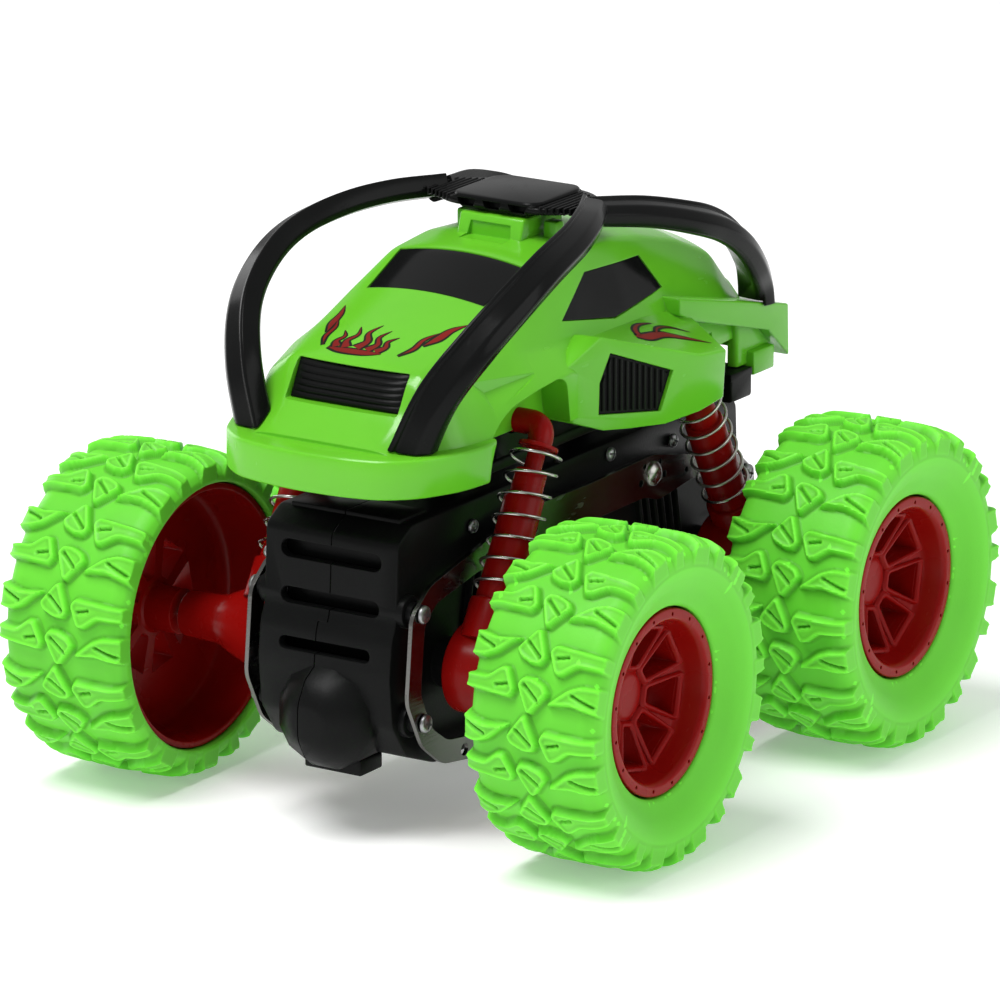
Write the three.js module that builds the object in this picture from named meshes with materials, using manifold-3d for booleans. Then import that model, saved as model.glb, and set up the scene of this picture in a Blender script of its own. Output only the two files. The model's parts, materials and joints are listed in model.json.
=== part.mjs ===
// Friction-driven stunt car: a gearbox unit with two geared axles, four sprung shock legs,
// and an upper body (tray, shell, inserts and roll cage) that sinks on the springs.
// Millimetres. +X forward, +Y to the vehicle's left, +Z up; the ground is z = 0 below the middle.
import * as THREE from "three";
import { mergeVertices } from "three/addons/utils/BufferGeometryUtils.js";
import Module from "manifold-3d";

const wasm = await Module();
wasm.setup();

// ---- driving dimensions ----
const WHEEL_R = 30;            // tyre radius, also the axle height
const AXLE_X = 42;             // axles at +AXLE_X and -AXLE_X
const TYRE_IN = 36.4;          // tyre's inner and outer faces, from the centre plane
const TYRE_OUT = 62.7;
const CUP_IN = 37.7;           // open end of the wheel's cup
const CUP_R = 23;
const LIP_Y = 59.2;            // outer lip of the rim
const LIP_R = 16.7;
const WINDOWS = 8;             // windows in the wheel's face
const WINDOW_PHASE = 33;       // degrees, first window above the rearward direction
const WHEEL_FACETS = 24;
const SHAFT_R = 1.5;
const BORE_GAP = 0.25;         // running gap of a shaft in plastic
const GAP = 0.3;               // gap between pieces that rest on each other
const WALL = 1.6;              // moulded wall thickness
const CASE_HALF_WIDTH = 14;
const CASE_TOP = 57.5;
const CASE_FLOOR = 12;
const GEAR_MODULE = 1.5;
const AXLE_TEETH = 12;
const IDLER_TEETH = 14;
const CENTRE_TEETH = 16;
const PINION_TEETH = 8;
const GEAR_WIDTH = 5;
const PLATE_Y = 17;            // steel side plates
const PLATE_THICK = 0.8;
const SHOCK_Y = 23;            // shock legs
const SHOCK_LEAN = 29;         // degrees from vertical, top towards the middle
const SHOCK_MID = [32.5, 54.5]; // x and z of a point on the front shock's axis
const SPRING_HALF = 13.5;      // half of the spring's length
const SPRING_R = 4.55;         // mean radius of the coil
const WIRE_R = 0.3;
const SPRING_TURNS = 6.5;
const PIN_REACH = 18.3;        // along the shock's axis, from its mid point to the top pin
const TRAVEL = 4;              // how far the upper body sinks
const TRAY_FLOOR = CASE_TOP + TRAVEL + 0.8;
const CAGE_MID_X = -3;         // the roll cage is the same before and behind this plane

// ---- colours ----
const GREEN = [0x5fd426, 0.3, 0];
const TYRE_GREEN = [0x62e03a, 0.55, 0];
const RED = [0x8c0806, 0.35, 0];
const BLACK = [0x0c0d0d, 0.35, 0];
const GLOSS_BLACK = [0x090909, 0.12, 0];
const STEEL = [0xb9b6ae, 0.25, 1];
const ZINC = [0x8d8f92, 0.4, 1];
const NATURAL = [0xe8e4d8, 0.5, 0];

const car = new THREE.Group();
const rad = THREE.MathUtils.degToRad;
const v3 = (x, y, z) => new THREE.Vector3(x, y, z);

// ---- geometry helpers ----
function solid(geometry) {
  const bare = new THREE.BufferGeometry();
  bare.setAttribute("position", geometry.attributes.position.clone());
  if (geometry.index) bare.setIndex(geometry.index.clone());
  const merged = mergeVertices(bare, 1e-4);
  const index = merged.index.array;
  const kept = [];
  for (let i = 0; i < index.length; i += 3) {
    const [a, b, c] = [index[i], index[i + 1], index[i + 2]];
    if (a !== b && b !== c && c !== a) kept.push(a, b, c);
  }
  return new wasm.Manifold(new wasm.Mesh({
    numProp: 3,
    vertProperties: Float32Array.from(merged.attributes.position.array),
    triVerts: Uint32Array.from(kept),
  }));
}

function geometryOf(manifold) {
  const mesh = manifold.getMesh();
  const geometry = new THREE.BufferGeometry();
  geometry.setAttribute("position", new THREE.BufferAttribute(mesh.vertProperties, 3));
  geometry.setIndex(new THREE.BufferAttribute(mesh.triVerts, 1));
  return geometry;
}

function join(first, ...others) {
  return geometryOf(others.reduce((sum, other) => sum.add(solid(other)), solid(first)));
}

function cut(first, ...tools) {
  return geometryOf(tools.reduce((rest, tool) => rest.subtract(solid(tool)), solid(first)));
}

function add(name, geometry, [color, roughness, metalness], parent = car) {
  const mesh = new THREE.Mesh(geometry, new THREE.MeshStandardMaterial({ color, roughness, metalness }));
  mesh.name = name;
  parent.add(mesh);
  return mesh;
}

function block(low, high) {
  const size = high.map((value, i) => value - low[i]);
  const box = new THREE.BoxGeometry(...size);
  return box.translate(...low.map((value, i) => value + size[i] / 2));
}

// A body turned round the Y axis from a profile of [radius, y] points.
function turned(profile, segments = 24) {
  const closed = profile[0][0] > 0 || profile[profile.length - 1][0] > 0;
  const points = profile.map(([r, y]) => new THREE.Vector2(r, y));
  if (closed) points.push(points[0].clone());
  return outward(new THREE.LatheGeometry(points, segments));
}

// A round bar between two points.
function rod(from, to, radius, segments = 12) {
  const a = v3(...from);
  const b = v3(...to);
  const bar = new THREE.CylinderGeometry(radius, radius, a.distanceTo(b), segments);
  const turn = new THREE.Quaternion().setFromUnitVectors(v3(0, 1, 0), b.clone().sub(a).normalize());
  bar.applyQuaternion(turn);
  const middle = a.add(b).multiplyScalar(0.5);
  return bar.translate(middle.x, middle.y, middle.z);
}

// A side-view outline of [x, z] points, thickened along Y between two distances.
function sidePrism(outline, yLow, yHigh, holes = []) {
  const shape = new THREE.Shape(outline.map(([x, z]) => new THREE.Vector2(x, z)));
  for (const hole of holes) shape.holes.push(new THREE.Path(hole.map(([x, z]) => new THREE.Vector2(x, z))));
  const prism = new THREE.ExtrudeGeometry(shape, { depth: yHigh - yLow, bevelEnabled: false });
  prism.rotateX(Math.PI / 2);
  return prism.translate(0, yHigh, 0);
}

// A plan outline of [x, y] points, thickened along Z.
function planPrism(outline, zLow, zHigh) {
  const shape = new THREE.Shape(outline.map(([x, y]) => new THREE.Vector2(x, y)));
  const prism = new THREE.ExtrudeGeometry(shape, { depth: zHigh - zLow, bevelEnabled: false });
  return prism.translate(0, 0, zLow);
}

function circle(cx, cz, radius, count) {
  return Array.from({ length: count }, (_, i) => {
    const angle = (2 * Math.PI * i) / count;
    return [cx + radius * Math.cos(angle), cz + radius * Math.sin(angle)];
  });
}

// A closed body through rings of points; all rings have the same number of points.
function loft(rings) {
  const count = rings[0].length;
  const positions = rings.flat().flatMap((p) => [p.x, p.y, p.z]);
  const index = [];
  for (let r = 0; r < rings.length - 1; r += 1) {
    for (let i = 0; i < count; i += 1) {
      const a = r * count + i;
      const b = r * count + ((i + 1) % count);
      index.push(a, b, b + count, a, b + count, a + count);
    }
  }
  const last = (rings.length - 1) * count;
  for (const [base, flip] of [[0, true], [last, false]]) {
    const ring = rings[base / count];
    const normal = v3(0, 0, 0);
    ring.forEach((p, i) => normal.add(p.clone().cross(ring[(i + 1) % count])));
    const u = ring[1].clone().sub(ring[0]).normalize();
    const w = normal.clone().normalize().cross(u).normalize();
    const flat = ring.map((p) => new THREE.Vector2(p.dot(u), p.dot(w)));
    for (const [a, b, c] of THREE.ShapeUtils.triangulateShape(flat, [])) {
      const turn = flip ? [a, c, b] : [a, b, c];
      index.push(...turn.map((i) => base + i));
    }
  }
  const geometry = new THREE.BufferGeometry();
  geometry.setAttribute("position", new THREE.Float32BufferAttribute(positions, 3));
  geometry.setIndex(index);
  return outward(geometry);
}

// Turns a closed body's faces outwards if its volume comes out negative.
function outward(geometry) {
  const p = geometry.attributes.position;
  const index = geometry.index.array;
  let volume = 0;
  for (let i = 0; i < index.length; i += 3) {
    const [a, b, c] = [0, 1, 2].map((k) => v3().fromBufferAttribute(p, index[i + k]));
    volume += a.dot(b.cross(c));
  }
  if (volume < 0) geometry.setIndex(Array.from(index).reverse());
  return geometry;
}

// The same body on the other side of the centre plane.
function mirrored(geometry) {
  const copy = geometry.clone().scale(1, -1, 1);
  if (!copy.index) copy.setIndex([...Array(copy.attributes.position.count).keys()]);
  copy.setIndex(Array.from(copy.index.array).reverse());
  return copy;
}

// ---- wheels ----
function rimGeometry() {
  const bore = SHAFT_R + BORE_GAP;
  const ring = turned([
    [0, 53.2], [4, 52.4], [13.6, 54.2], [14.6, LIP_Y], [LIP_R, LIP_Y], [LIP_R, 51.5],
    [24.3, 51.5], [24.3, CUP_IN], [CUP_R, CUP_IN], [CUP_R, 49.9], [4.2, 49], [4.2, 42.5],
    [bore, 42.5], [bore, 52.2], [0, 52.2],
  ], WHEEL_FACETS);
  return cut(ring, ...windowCutters());
}

function windowCutters() {
  const half = (inner, outer) => [[5.4, -inner], [12.3, -outer], [12.3, outer], [5.4, inner]];
  return Array.from({ length: WINDOWS }, (_, i) => {
    const cutter = sidePrism(half(1.1, 3.6), 45, 58);
    return cutter.rotateY(rad(180 + WINDOW_PHASE + (360 / WINDOWS) * i));
  });
}

function tyreGeometry() {
  return turned([
    [24.6, TYRE_IN], [27.5, TYRE_IN], [29.1, 38.8], [WHEEL_R, 43.5], [WHEEL_R, 55.5],
    [29.1, 60.4], [27.2, TYRE_OUT], [LIP_R + GAP, LIP_Y], [LIP_R + GAP, 51.8], [24.6, 51.8],
  ], WHEEL_FACETS);
}

function placeWheels() {
  for (const [end, x] of [["front", AXLE_X], ["rear", -AXLE_X]]) {
    for (const side of ["left", "right"]) {
      const wheel = new THREE.Group();
      wheel.position.set(x, 0, WHEEL_R);
      if (side === "right") wheel.rotation.z = Math.PI;
      add(`${end}_${side}_rim`, rimGeometry(), RED, wheel);
      add(`${end}_${side}_tyre`, tyreGeometry(), TYRE_GREEN, wheel);
      car.add(wheel);
    }
    add(`${end}_axle_shaft`, rod([x, -51.9, WHEEL_R], [x, 51.9, WHEEL_R], SHAFT_R), STEEL);
  }
}

// ---- gear train, in the gearbox's middle plane ----
// A gear with its axis along Y; `phase` turns it, in tooth pitches.
function gearGeometry(teeth, phase, boreRadius) {
  const pitchRadius = (GEAR_MODULE * teeth) / 2;
  const tip = pitchRadius + 0.85;
  const root = pitchRadius - 1.35;
  const outline = [];
  for (let i = 0; i < teeth; i += 1) {
    const middle = (i + phase) / teeth;
    for (const [share, radius] of [[-0.34, root], [-0.13, tip], [0.13, tip], [0.34, root]]) {
      const angle = 2 * Math.PI * (middle + share / teeth);
      outline.push([radius * Math.cos(angle), radius * Math.sin(angle)]);
    }
  }
  const holes = boreRadius ? [circle(0, 0, boreRadius, 12)] : [];
  return sidePrism(outline, -GEAR_WIDTH / 2, GEAR_WIDTH / 2, holes);
}

function stub(half, radius) {
  return rod([0, -half, 0], [0, half, 0], radius);
}

function placeGears() {
  const pitch = (teeth) => (GEAR_MODULE * teeth) / 2;
  const idlerX = AXLE_X - pitch(AXLE_TEETH) - pitch(IDLER_TEETH);
  const flywheelZ = WHEEL_R + pitch(CENTRE_TEETH) + pitch(PINION_TEETH);
  const journal = CASE_HALF_WIDTH - WALL - GAP;
  for (const [end, sign] of [["front", 1], ["rear", -1]]) {
    const axleGear = gearGeometry(AXLE_TEETH, 0.5, SHAFT_R + BORE_GAP);
    add(`${end}_axle_gear`, axleGear, NATURAL).position.set(sign * AXLE_X, 0, WHEEL_R);
    const idler = join(gearGeometry(IDLER_TEETH, 0, 0), stub(journal, 1.8));
    add(`${end}_idler_gear`, idler, NATURAL).position.set(sign * idlerX, 0, WHEEL_R);
  }
  const centre = join(gearGeometry(CENTRE_TEETH, 0.5, 0), stub(journal, 1.8));
  add("centre_gear", centre, NATURAL).position.set(0, 0, WHEEL_R);
  const pinion = join(gearGeometry(PINION_TEETH, 0, 0), stub(journal, SHAFT_R));
  add("flywheel_pinion", pinion, NATURAL).position.set(0, 0, flywheelZ);
  for (const [side, sign] of [["left", 1], ["right", -1]]) {
    const disc = turned([[SHAFT_R + BORE_GAP, 4], [7.3, 4], [7.3, 9], [SHAFT_R + BORE_GAP, 9]], 20);
    const placed = sign > 0 ? disc : mirrored(disc);
    add(`flywheel_${side}`, placed, STEEL).position.set(0, 0, flywheelZ);
  }
}

// ---- gearbox case ----
const CASE_FRONT = [
  [52.5, CASE_TOP], [57.2, 54.4], [58.2, 38.8], [59.6, 31], [58.8, 22], [54.5, 15.6], [45, CASE_FLOOR],
];
const BULGE = [54, 22, 10, 11]; // x and z of the nose bulge's middle, its radius and its reach
const SLOT_HEIGHTS = [51.4, 42.2, 34.2];
const SLOT_HALF = 10.4;
const SLOT_TALL = 3.4;
const POST_X = 22;
const POST_R = 3;

function caseOutline(inset) {
  const front = CASE_FRONT.map(([x, z]) => [
    x - inset, THREE.MathUtils.clamp(z, CASE_FLOOR + inset, CASE_TOP - inset),
  ]);
  return [...front, ...front.map(([x, z]) => [-x, z]).reverse()];
}

// The round nose over the axle's differential, at the front and at the rear.
function bulge(sign, inset) {
  const [x, z, radius, reach] = BULGE;
  const rings = [[0, 1], [0.5, 0.97], [0.8, 0.8], [1, 0.5]].map(([along, size]) => {
    const r = (radius - inset) * size;
    return circle(0, 0, r, 12).map(([a, b]) => v3(sign * (x + (reach - inset) * along), a, z + b));
  });
  return loft(rings);
}

function slotCutters(sign) {
  return SLOT_HEIGHTS.map((z) => {
    const low = [sign > 0 ? 50 : -62, -SLOT_HALF, z - SLOT_TALL / 2];
    const high = [sign > 0 ? 62 : -50, SLOT_HALF, z + SLOT_TALL / 2];
    return block(low, high);
  });
}

function bearingHoles() {
  const pitch = (teeth) => (GEAR_MODULE * teeth) / 2;
  const idlerX = AXLE_X - pitch(AXLE_TEETH) - pitch(IDLER_TEETH);
  const through = (x, z, r) => rod([x, -30, z], [x, 30, z], r, 10);
  return [
    through(AXLE_X, WHEEL_R, SHAFT_R + BORE_GAP), through(-AXLE_X, WHEEL_R, SHAFT_R + BORE_GAP),
    ...[idlerX, -idlerX, 0].map((x) => rod([x, -CASE_HALF_WIDTH + 0.6, WHEEL_R],
      [x, CASE_HALF_WIDTH - 0.6, WHEEL_R], 2.1, 10)),
  ];
}

function placeCase() {
  const whole = join(
    sidePrism(caseOutline(0), -CASE_HALF_WIDTH, CASE_HALF_WIDTH),
    bulge(1, 0), bulge(-1, 0),
    ...[AXLE_X, -AXLE_X].map((x) => rod([x, -17.6, WHEEL_R], [x, 17.6, WHEEL_R], 4.6, 12)),
    ...standoffs(),
  );
  const flywheelZ = WHEEL_R + (GEAR_MODULE * (CENTRE_TEETH + PINION_TEETH)) / 2;
  const inside = join(
    sidePrism(caseOutline(WALL), -CASE_HALF_WIDTH + WALL, CASE_HALF_WIDTH - WALL),
    bulge(1, WALL), bulge(-1, WALL),
  );
  const posts = [POST_X, -POST_X].map((x) => rod([x, 0, 40], [x, 0, 70], POST_R + GAP, 12));
  const pivot = rod([0, -CASE_HALF_WIDTH + 0.6, flywheelZ], [0, CASE_HALF_WIDTH - 0.6, flywheelZ], 1.75, 10);
  const shell = cut(whole, inside, ...slotCutters(1), ...slotCutters(-1), ...bearingHoles(), ...posts, pivot,
    ...screwHoles());
  const side = block([-90, GAP / 2, -10], [90, 40, 90]);
  const left = geometryOf(solid(shell).intersect(solid(side)));
  const right = geometryOf(solid(shell).intersect(solid(mirrored(side))));
  add("gearbox_case_left", left, BLACK);
  add("gearbox_case_right", right, BLACK);
}

// ---- steel side plates on the case's standoffs, with their screws ----
const PLATE_HALF = [
  [0, 53], [22, 53.4], [36, 50.2], [51.8, 46.8], [57.4, 42.4], [59, 27], [54.4, 18], [48, 13.2],
  [37, 11.6], [0, 11.6],
];
const PLATE_WINDOW = [
  [0, 46], [19, 46], [24, 44.4], [36, 45.8], [50, 43.2], [53.6, 40.2], [55, 27.6], [51.4, 20.6], [46.4, 17.2],
  [38, 16], [0, 16],
];
const PLATE_SCREWS = [[54.6, 42.4], [54.2, 22.4]];
const PLATE_TAB = [41, 14.1]; // spare hole in the lower edge

function fullOutline(half) {
  const rear = half.map(([x, z]) => [-x, z]).reverse();
  return [...half, ...rear.slice(1, -1)];
}

function standoffs() {
  const posts = [];
  for (const [x, z] of PLATE_SCREWS) {
    for (const sign of [1, -1]) {
      posts.push(rod([sign * x, -16.3, z], [sign * x, 16.3, z], 1.9, 8));
    }
  }
  return posts;
}

function screwHoles() {
  const through = (x, z) => rod([x, -20, z], [x, 20, z], 1.15, 8);
  return PLATE_SCREWS.flatMap(([x, z]) => [through(x, z), through(-x, z)]);
}

function screwGeometry(length) {
  const body = turned([[0, -length], [0.85, -length], [0.85, 0.25], [1.7, 0.25], [1.5, 1.1], [0, 1.3]], 8);
  return cut(body, block([-1.1, 0.9, -0.22], [1.1, 2, 0.22]));
}

function placePlates() {
  for (const [side, sign] of [["left", 1], ["right", -1]]) {
    const low = sign > 0 ? PLATE_Y - PLATE_THICK / 2 : -PLATE_Y - PLATE_THICK / 2;
    const across = (x, z, r) => rod([x, low - 1, z], [x, low + 2, z], r, 8);
    const holes = [...PLATE_SCREWS, PLATE_TAB].flatMap(([x, z]) => [across(x, z, 1.15), across(-x, z, 1.15)]);
    const window = sidePrism(fullOutline(PLATE_WINDOW), low - 1, low + 2);
    const plate = cut(sidePrism(fullOutline(PLATE_HALF), low, low + PLATE_THICK), window, ...holes);
    add(`side_plate_${side}`, plate, STEEL);
    for (const [end, along] of [["front", 1], ["rear", -1]]) {
      PLATE_SCREWS.forEach(([x, z], i) => {
        const screw = add(`plate_screw_${end}_${side}_${i + 1}`, screwGeometry(6), ZINC);
        screw.position.set(along * x, sign * (PLATE_Y + PLATE_THICK / 2), z);
        if (sign < 0) screw.rotation.x = Math.PI;
      });
    }
  }
}

// ---- shock legs ----
// Everything is made for the front left leg, then turned or mirrored into its corner.
const LEAN = rad(SHOCK_LEAN);
const legPoint = (along) => [
  SHOCK_MID[0] - along * Math.sin(LEAN), SHOCK_Y, SHOCK_MID[1] + along * Math.cos(LEAN),
];

function sleeveGeometry() {
  const bell = turned([
    [SHAFT_R + 0.5, 18.3], [8.3, 18.3], [8.3, 21.4], [7.7, 25.4], [6.2, 29.6], [4.8, 32.4], [4.4, 34],
    [4.4, 41], [SHAFT_R + 0.5, 41],
  ], 16);
  bell.translate(AXLE_X, 0, WHEEL_R);
  const leg = join(
    bell,
    rod(legPoint(-20), legPoint(5), 3.6, 10),
    rod(legPoint(4), legPoint(10.4), 2.9, 10),
  );
  return cut(leg, rod(legPoint(-13), legPoint(12), 2.0, 8),
    rod([AXLE_X, 10, WHEEL_R], [AXLE_X, 50, WHEEL_R], SHAFT_R + 0.5, 10));
}

function rodGeometry() {
  const [x, y, z] = legPoint(PIN_REACH);
  const corner = new THREE.SphereGeometry(2.3, 8, 6).translate(x, y, z);
  return join(
    rod(legPoint(-7), legPoint(PIN_REACH - 1), 1.6, 8),
    rod(legPoint(SPRING_HALF + 0.6), legPoint(PIN_REACH), 2.3, 8),
    corner,
    rod([x, y, z], [x, 13.6, z], 2.3, 8),
  );
}

// The coil as a swept wire with flat square ends.
class Coil extends THREE.Curve {
  getPoint(t) {
    const angle = 2 * Math.PI * SPRING_TURNS * t;
    const along = (2 * t - 1) * (SPRING_HALF - WIRE_R - 0.1);
    return v3(SPRING_R * Math.cos(angle), SPRING_R * Math.sin(angle), along);
  }
}

function springGeometry() {
  const wire = new THREE.Shape([[-1, -1], [1, -1], [1, 1], [-1, 1]].map(([a, b]) => (
    new THREE.Vector2(a * WIRE_R, b * WIRE_R))));
  const coil = new THREE.ExtrudeGeometry(wire, { steps: 54, extrudePath: new Coil() });
  coil.rotateY(-LEAN);
  return coil.translate(SHOCK_MID[0], SHOCK_Y, SHOCK_MID[1]);
}

function placeShocks() {
  const pieces = [
    ["shock_sleeve", sleeveGeometry(), RED], ["shock_rod", rodGeometry(), RED],
    ["shock_spring", springGeometry(), STEEL],
  ];
  for (const [name, geometry, look] of pieces) {
    const turnedLeg = geometry.clone().rotateZ(Math.PI);
    add(`front_left_${name}`, geometry, look);
    add(`front_right_${name}`, mirrored(geometry), look);
    add(`rear_left_${name}`, mirrored(turnedLeg), look);
    add(`rear_right_${name}`, turnedLeg, look);
  }
}

// ---- chassis tray ----
function placeTray() {
  const [pinX, , pinZ] = legPoint(PIN_REACH);
  const floor = planPrism([
    [56, -13], [58, 0], [56, 13], [40, 17], [-40, 17], [-52, 12.5], [-52, -12.5], [-40, -17], [40, -17],
  ], TRAY_FLOOR, TRAY_FLOOR + 2);
  const towers = [];
  const holes = [];
  for (const end of [1, -1]) {
    for (const sign of [1, -1]) {
      const [yLow, yHigh] = sign > 0 ? [12.6, 16.4] : [-16.4, -12.6];
      const xs = [end * pinX - 5.5, end * pinX + 5.5];
      towers.push(block([xs[0], yLow, TRAY_FLOOR + 1], [xs[1], yHigh, pinZ + 3.6]));
      holes.push(rod([end * pinX, sign * 13.2, pinZ], [end * pinX, sign * 22, pinZ], 2.3 + 0.35, 10));
    }
  }
  const posts = [POST_X, -POST_X].map((x) => rod([x, 0, 50], [x, 0, TRAY_FLOOR + 1], POST_R, 12));
  add("chassis_tray", cut(join(floor, ...towers, ...posts), ...holes), BLACK);
}

// ---- body shell ----
// Half sections of the hood and cabin, front to rear: x, then [y, z] from the top's middle
// outwards over the top edge and the belt line to the lower edge.
const HULL = [
  [60.5, [0, 72.2], [11, 72.2], [13, 72.1], [14, 72]],
  [53.6, [0, 77.6], [12.4, 76.8], [17.5, 74.5], [20.5, 71]],
  [50, [0, 84.4], [13.6, 83.4], [18.2, 80], [22.6, 70.5]],
  [40, [0, 87.9], [14.6, 86.6], [18.8, 83.6], [23.4, 72.4]],
  [27, [0, 92.2], [16, 90.4], [19.4, 83.6], [23.4, 77]],
  [14.7, [0, 97.2], [15.4, 95.4], [19, 82.2], [23, 78]],
  [4, [0, 98.4], [15, 96.6], [18.6, 81.6], [22, 74]],
  [-12, [0, 98], [14.2, 95.8], [18, 81], [21, 72]],
  [-24, [0, 95.8], [13.2, 93.4], [17.4, 80.6], [20, 71.5]],
  [-38, [0, 92], [12.4, 89.6], [16.4, 78], [18, 71]],
  [-50, [0, 87.6], [12, 84.6], [15.6, 75.8], [17, 70]],
  [-58, [0, 79.4], [11, 77.4], [14.6, 73.4], [16, 69]],
];

function hullRing([x, ...half], inset, floorZ) {
  const points = half.map(([y, z]) => [y && Math.max(y - inset, 0), z - inset]);
  points.push([Math.max(half[3][0] - inset, 0), floorZ]);
  const other = points.slice(1).map(([y, z]) => [-y, z]).reverse();
  return [...points, ...other].map(([y, z]) => v3(x, y, Math.max(z, floorZ)));
}

function hull(inset, floorZ, stations) {
  return loft(stations.map((station) => hullRing(station, inset, floorZ)));
}

// Front bumper: a band round the nose, with the ledge that the cage stands on.
const BUMPER = [[66.7, 0], [66.2, 8], [64.6, 15], [60, 20.4], [52, 24.2], [44, 25.2], [38, 23.6]];
const BUMPER_LOW = 64.8;
const LEDGE = 72;

function bumperOutline(inset) {
  const left = BUMPER.map(([x, y]) => [x - inset, Math.max(y - inset, 0)]);
  const right = left.slice(1).map(([x, y]) => [x, -y]).reverse();
  return [...left, [36, 10], [36, -10], ...right].filter(([, y], i) => i === 0 || y !== 0);
}

// Rear wings and rear bumper: the side view's outline, and the plan view's corner.
const WING = [[-26, 82.2], [-64.5, 73], [-64.9, 63], [-57.5, 69.4], [-32, 76.6], [-26, 79]];
const WING_IN = 12;
const WING_OUT = 20.4;
// Side pods: an outline at the cabin side and one on the outer face, whose distance from the
// centre plane grows towards the rear.
const POD_INNER = [
  [7, 82.4], [-14, 81.4], [-32, 79.6], [-31, 66], [-9, 64.4], [6, 66], [14.5, 68.6], [16.6, 79],
];
const POD_OUTER = [
  [6.6, 82.8], [-16.6, 75], [-26.9, 73.8], [-26, 65], [-9.3, 63.6], [5.8, 65.3], [13.5, 68.2], [15.5, 78.5],
];
const POD_IN = 16;
const podFace = (x) => Math.min(25.6 - 0.235 * x, 29.8);
const POD_WINDOW = [[4.4, 79.4], [-11.1, 73.3], [-8.1, 66.3], [7.2, 68.5], [7, 74.3]];
const ARCH = [
  [45, 58], [44.2, 67], [42.6, 70.6], [39, 73.6], [34, 75.8], [27, 77.2], [18.7, 77.8], [16.4, 76.6],
  [15, 68], [13, 58],
];
const SIDE_WINDOW = [[10, 85.5], [-0.6, 92], [-21.3, 90.6], [-26.9, 83.6], [-8.1, 82.1]];
const WINDSHIELD = [[27, 91.2, 12.4], [14.7, 95.8, 13.2]];
const GRILLE = [[52.6, 77, 11.8], [49.2, 83.7, 11.7]];
const INSERT_DEPTH = 1.6;

function shrink(outline, amount) {
  const cx = outline.reduce((sum, [x]) => sum + x, 0) / outline.length;
  const cz = outline.reduce((sum, [, z]) => sum + z, 0) / outline.length;
  return outline.map(([x, z]) => {
    const distance = Math.hypot(x - cx, z - cz);
    const factor = (distance - amount) / distance;
    return [cx + (x - cx) * factor, cz + (z - cz) * factor];
  });
}

// A slab behind a rectangle that leans in side view: its two edges as [x, z, half width].
function leaningSlab([low, high], above, below, trim) {
  const along = v3(high[0] - low[0], 0, high[1] - low[1]).normalize();
  const normal = v3(0, -1, 0).cross(along).normalize().multiplyScalar(-1);
  const corner = ([x, z, half], end, sign, rise) => v3(x, sign * (half - trim), z)
    .addScaledVector(along, end * trim).addScaledVector(normal, rise);
  const ring = (rise) => [corner(low, 1, 1, rise), corner(high, -1, 1, rise),
    corner(high, -1, -1, rise), corner(low, 1, -1, rise)];
  return loft([ring(below), ring(above)]);
}

// A slab over a side-view outline whose two faces follow y = face(x, z) plus an offset.
function curvedSlab(outline, face, low, high) {
  const ring = (offset) => outline.map(([x, z]) => v3(x, face(x, z) + offset, z));
  return loft([ring(low), ring(high)]);
}

// Half width of the cabin's side above the belt line, at a place in the side view.
function cabinSide(x, z) {
  const next = HULL.findIndex(([at]) => at < x);
  const [[x0, , top0, belt0], [x1, , top1, belt1]] = [HULL[next - 1], HULL[next]];
  const share = (x0 - x) / (x0 - x1);
  const mix = (a, b) => a.map((value, i) => value + (b[i] - value) * share);
  const [topY, topZ] = mix(top0, top1);
  const [beltY, beltZ] = mix(belt0, belt1);
  return beltY + ((z - beltZ) * (topY - beltY)) / (topZ - beltZ);
}

// The pod at full size, or shrunk to its hollow by a wall's thickness.
function podBody(wall) {
  const trim = (outline) => (wall ? shrink(outline, wall + 0.6) : outline);
  const inner = trim(POD_INNER).map(([x, z]) => v3(x, POD_IN - wall, z));
  const outer = trim(POD_OUTER).map(([x, z]) => v3(x, podFace(x) - (wall ? wall + INSERT_DEPTH : 0), z));
  return loft([inner, outer]);
}

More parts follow.
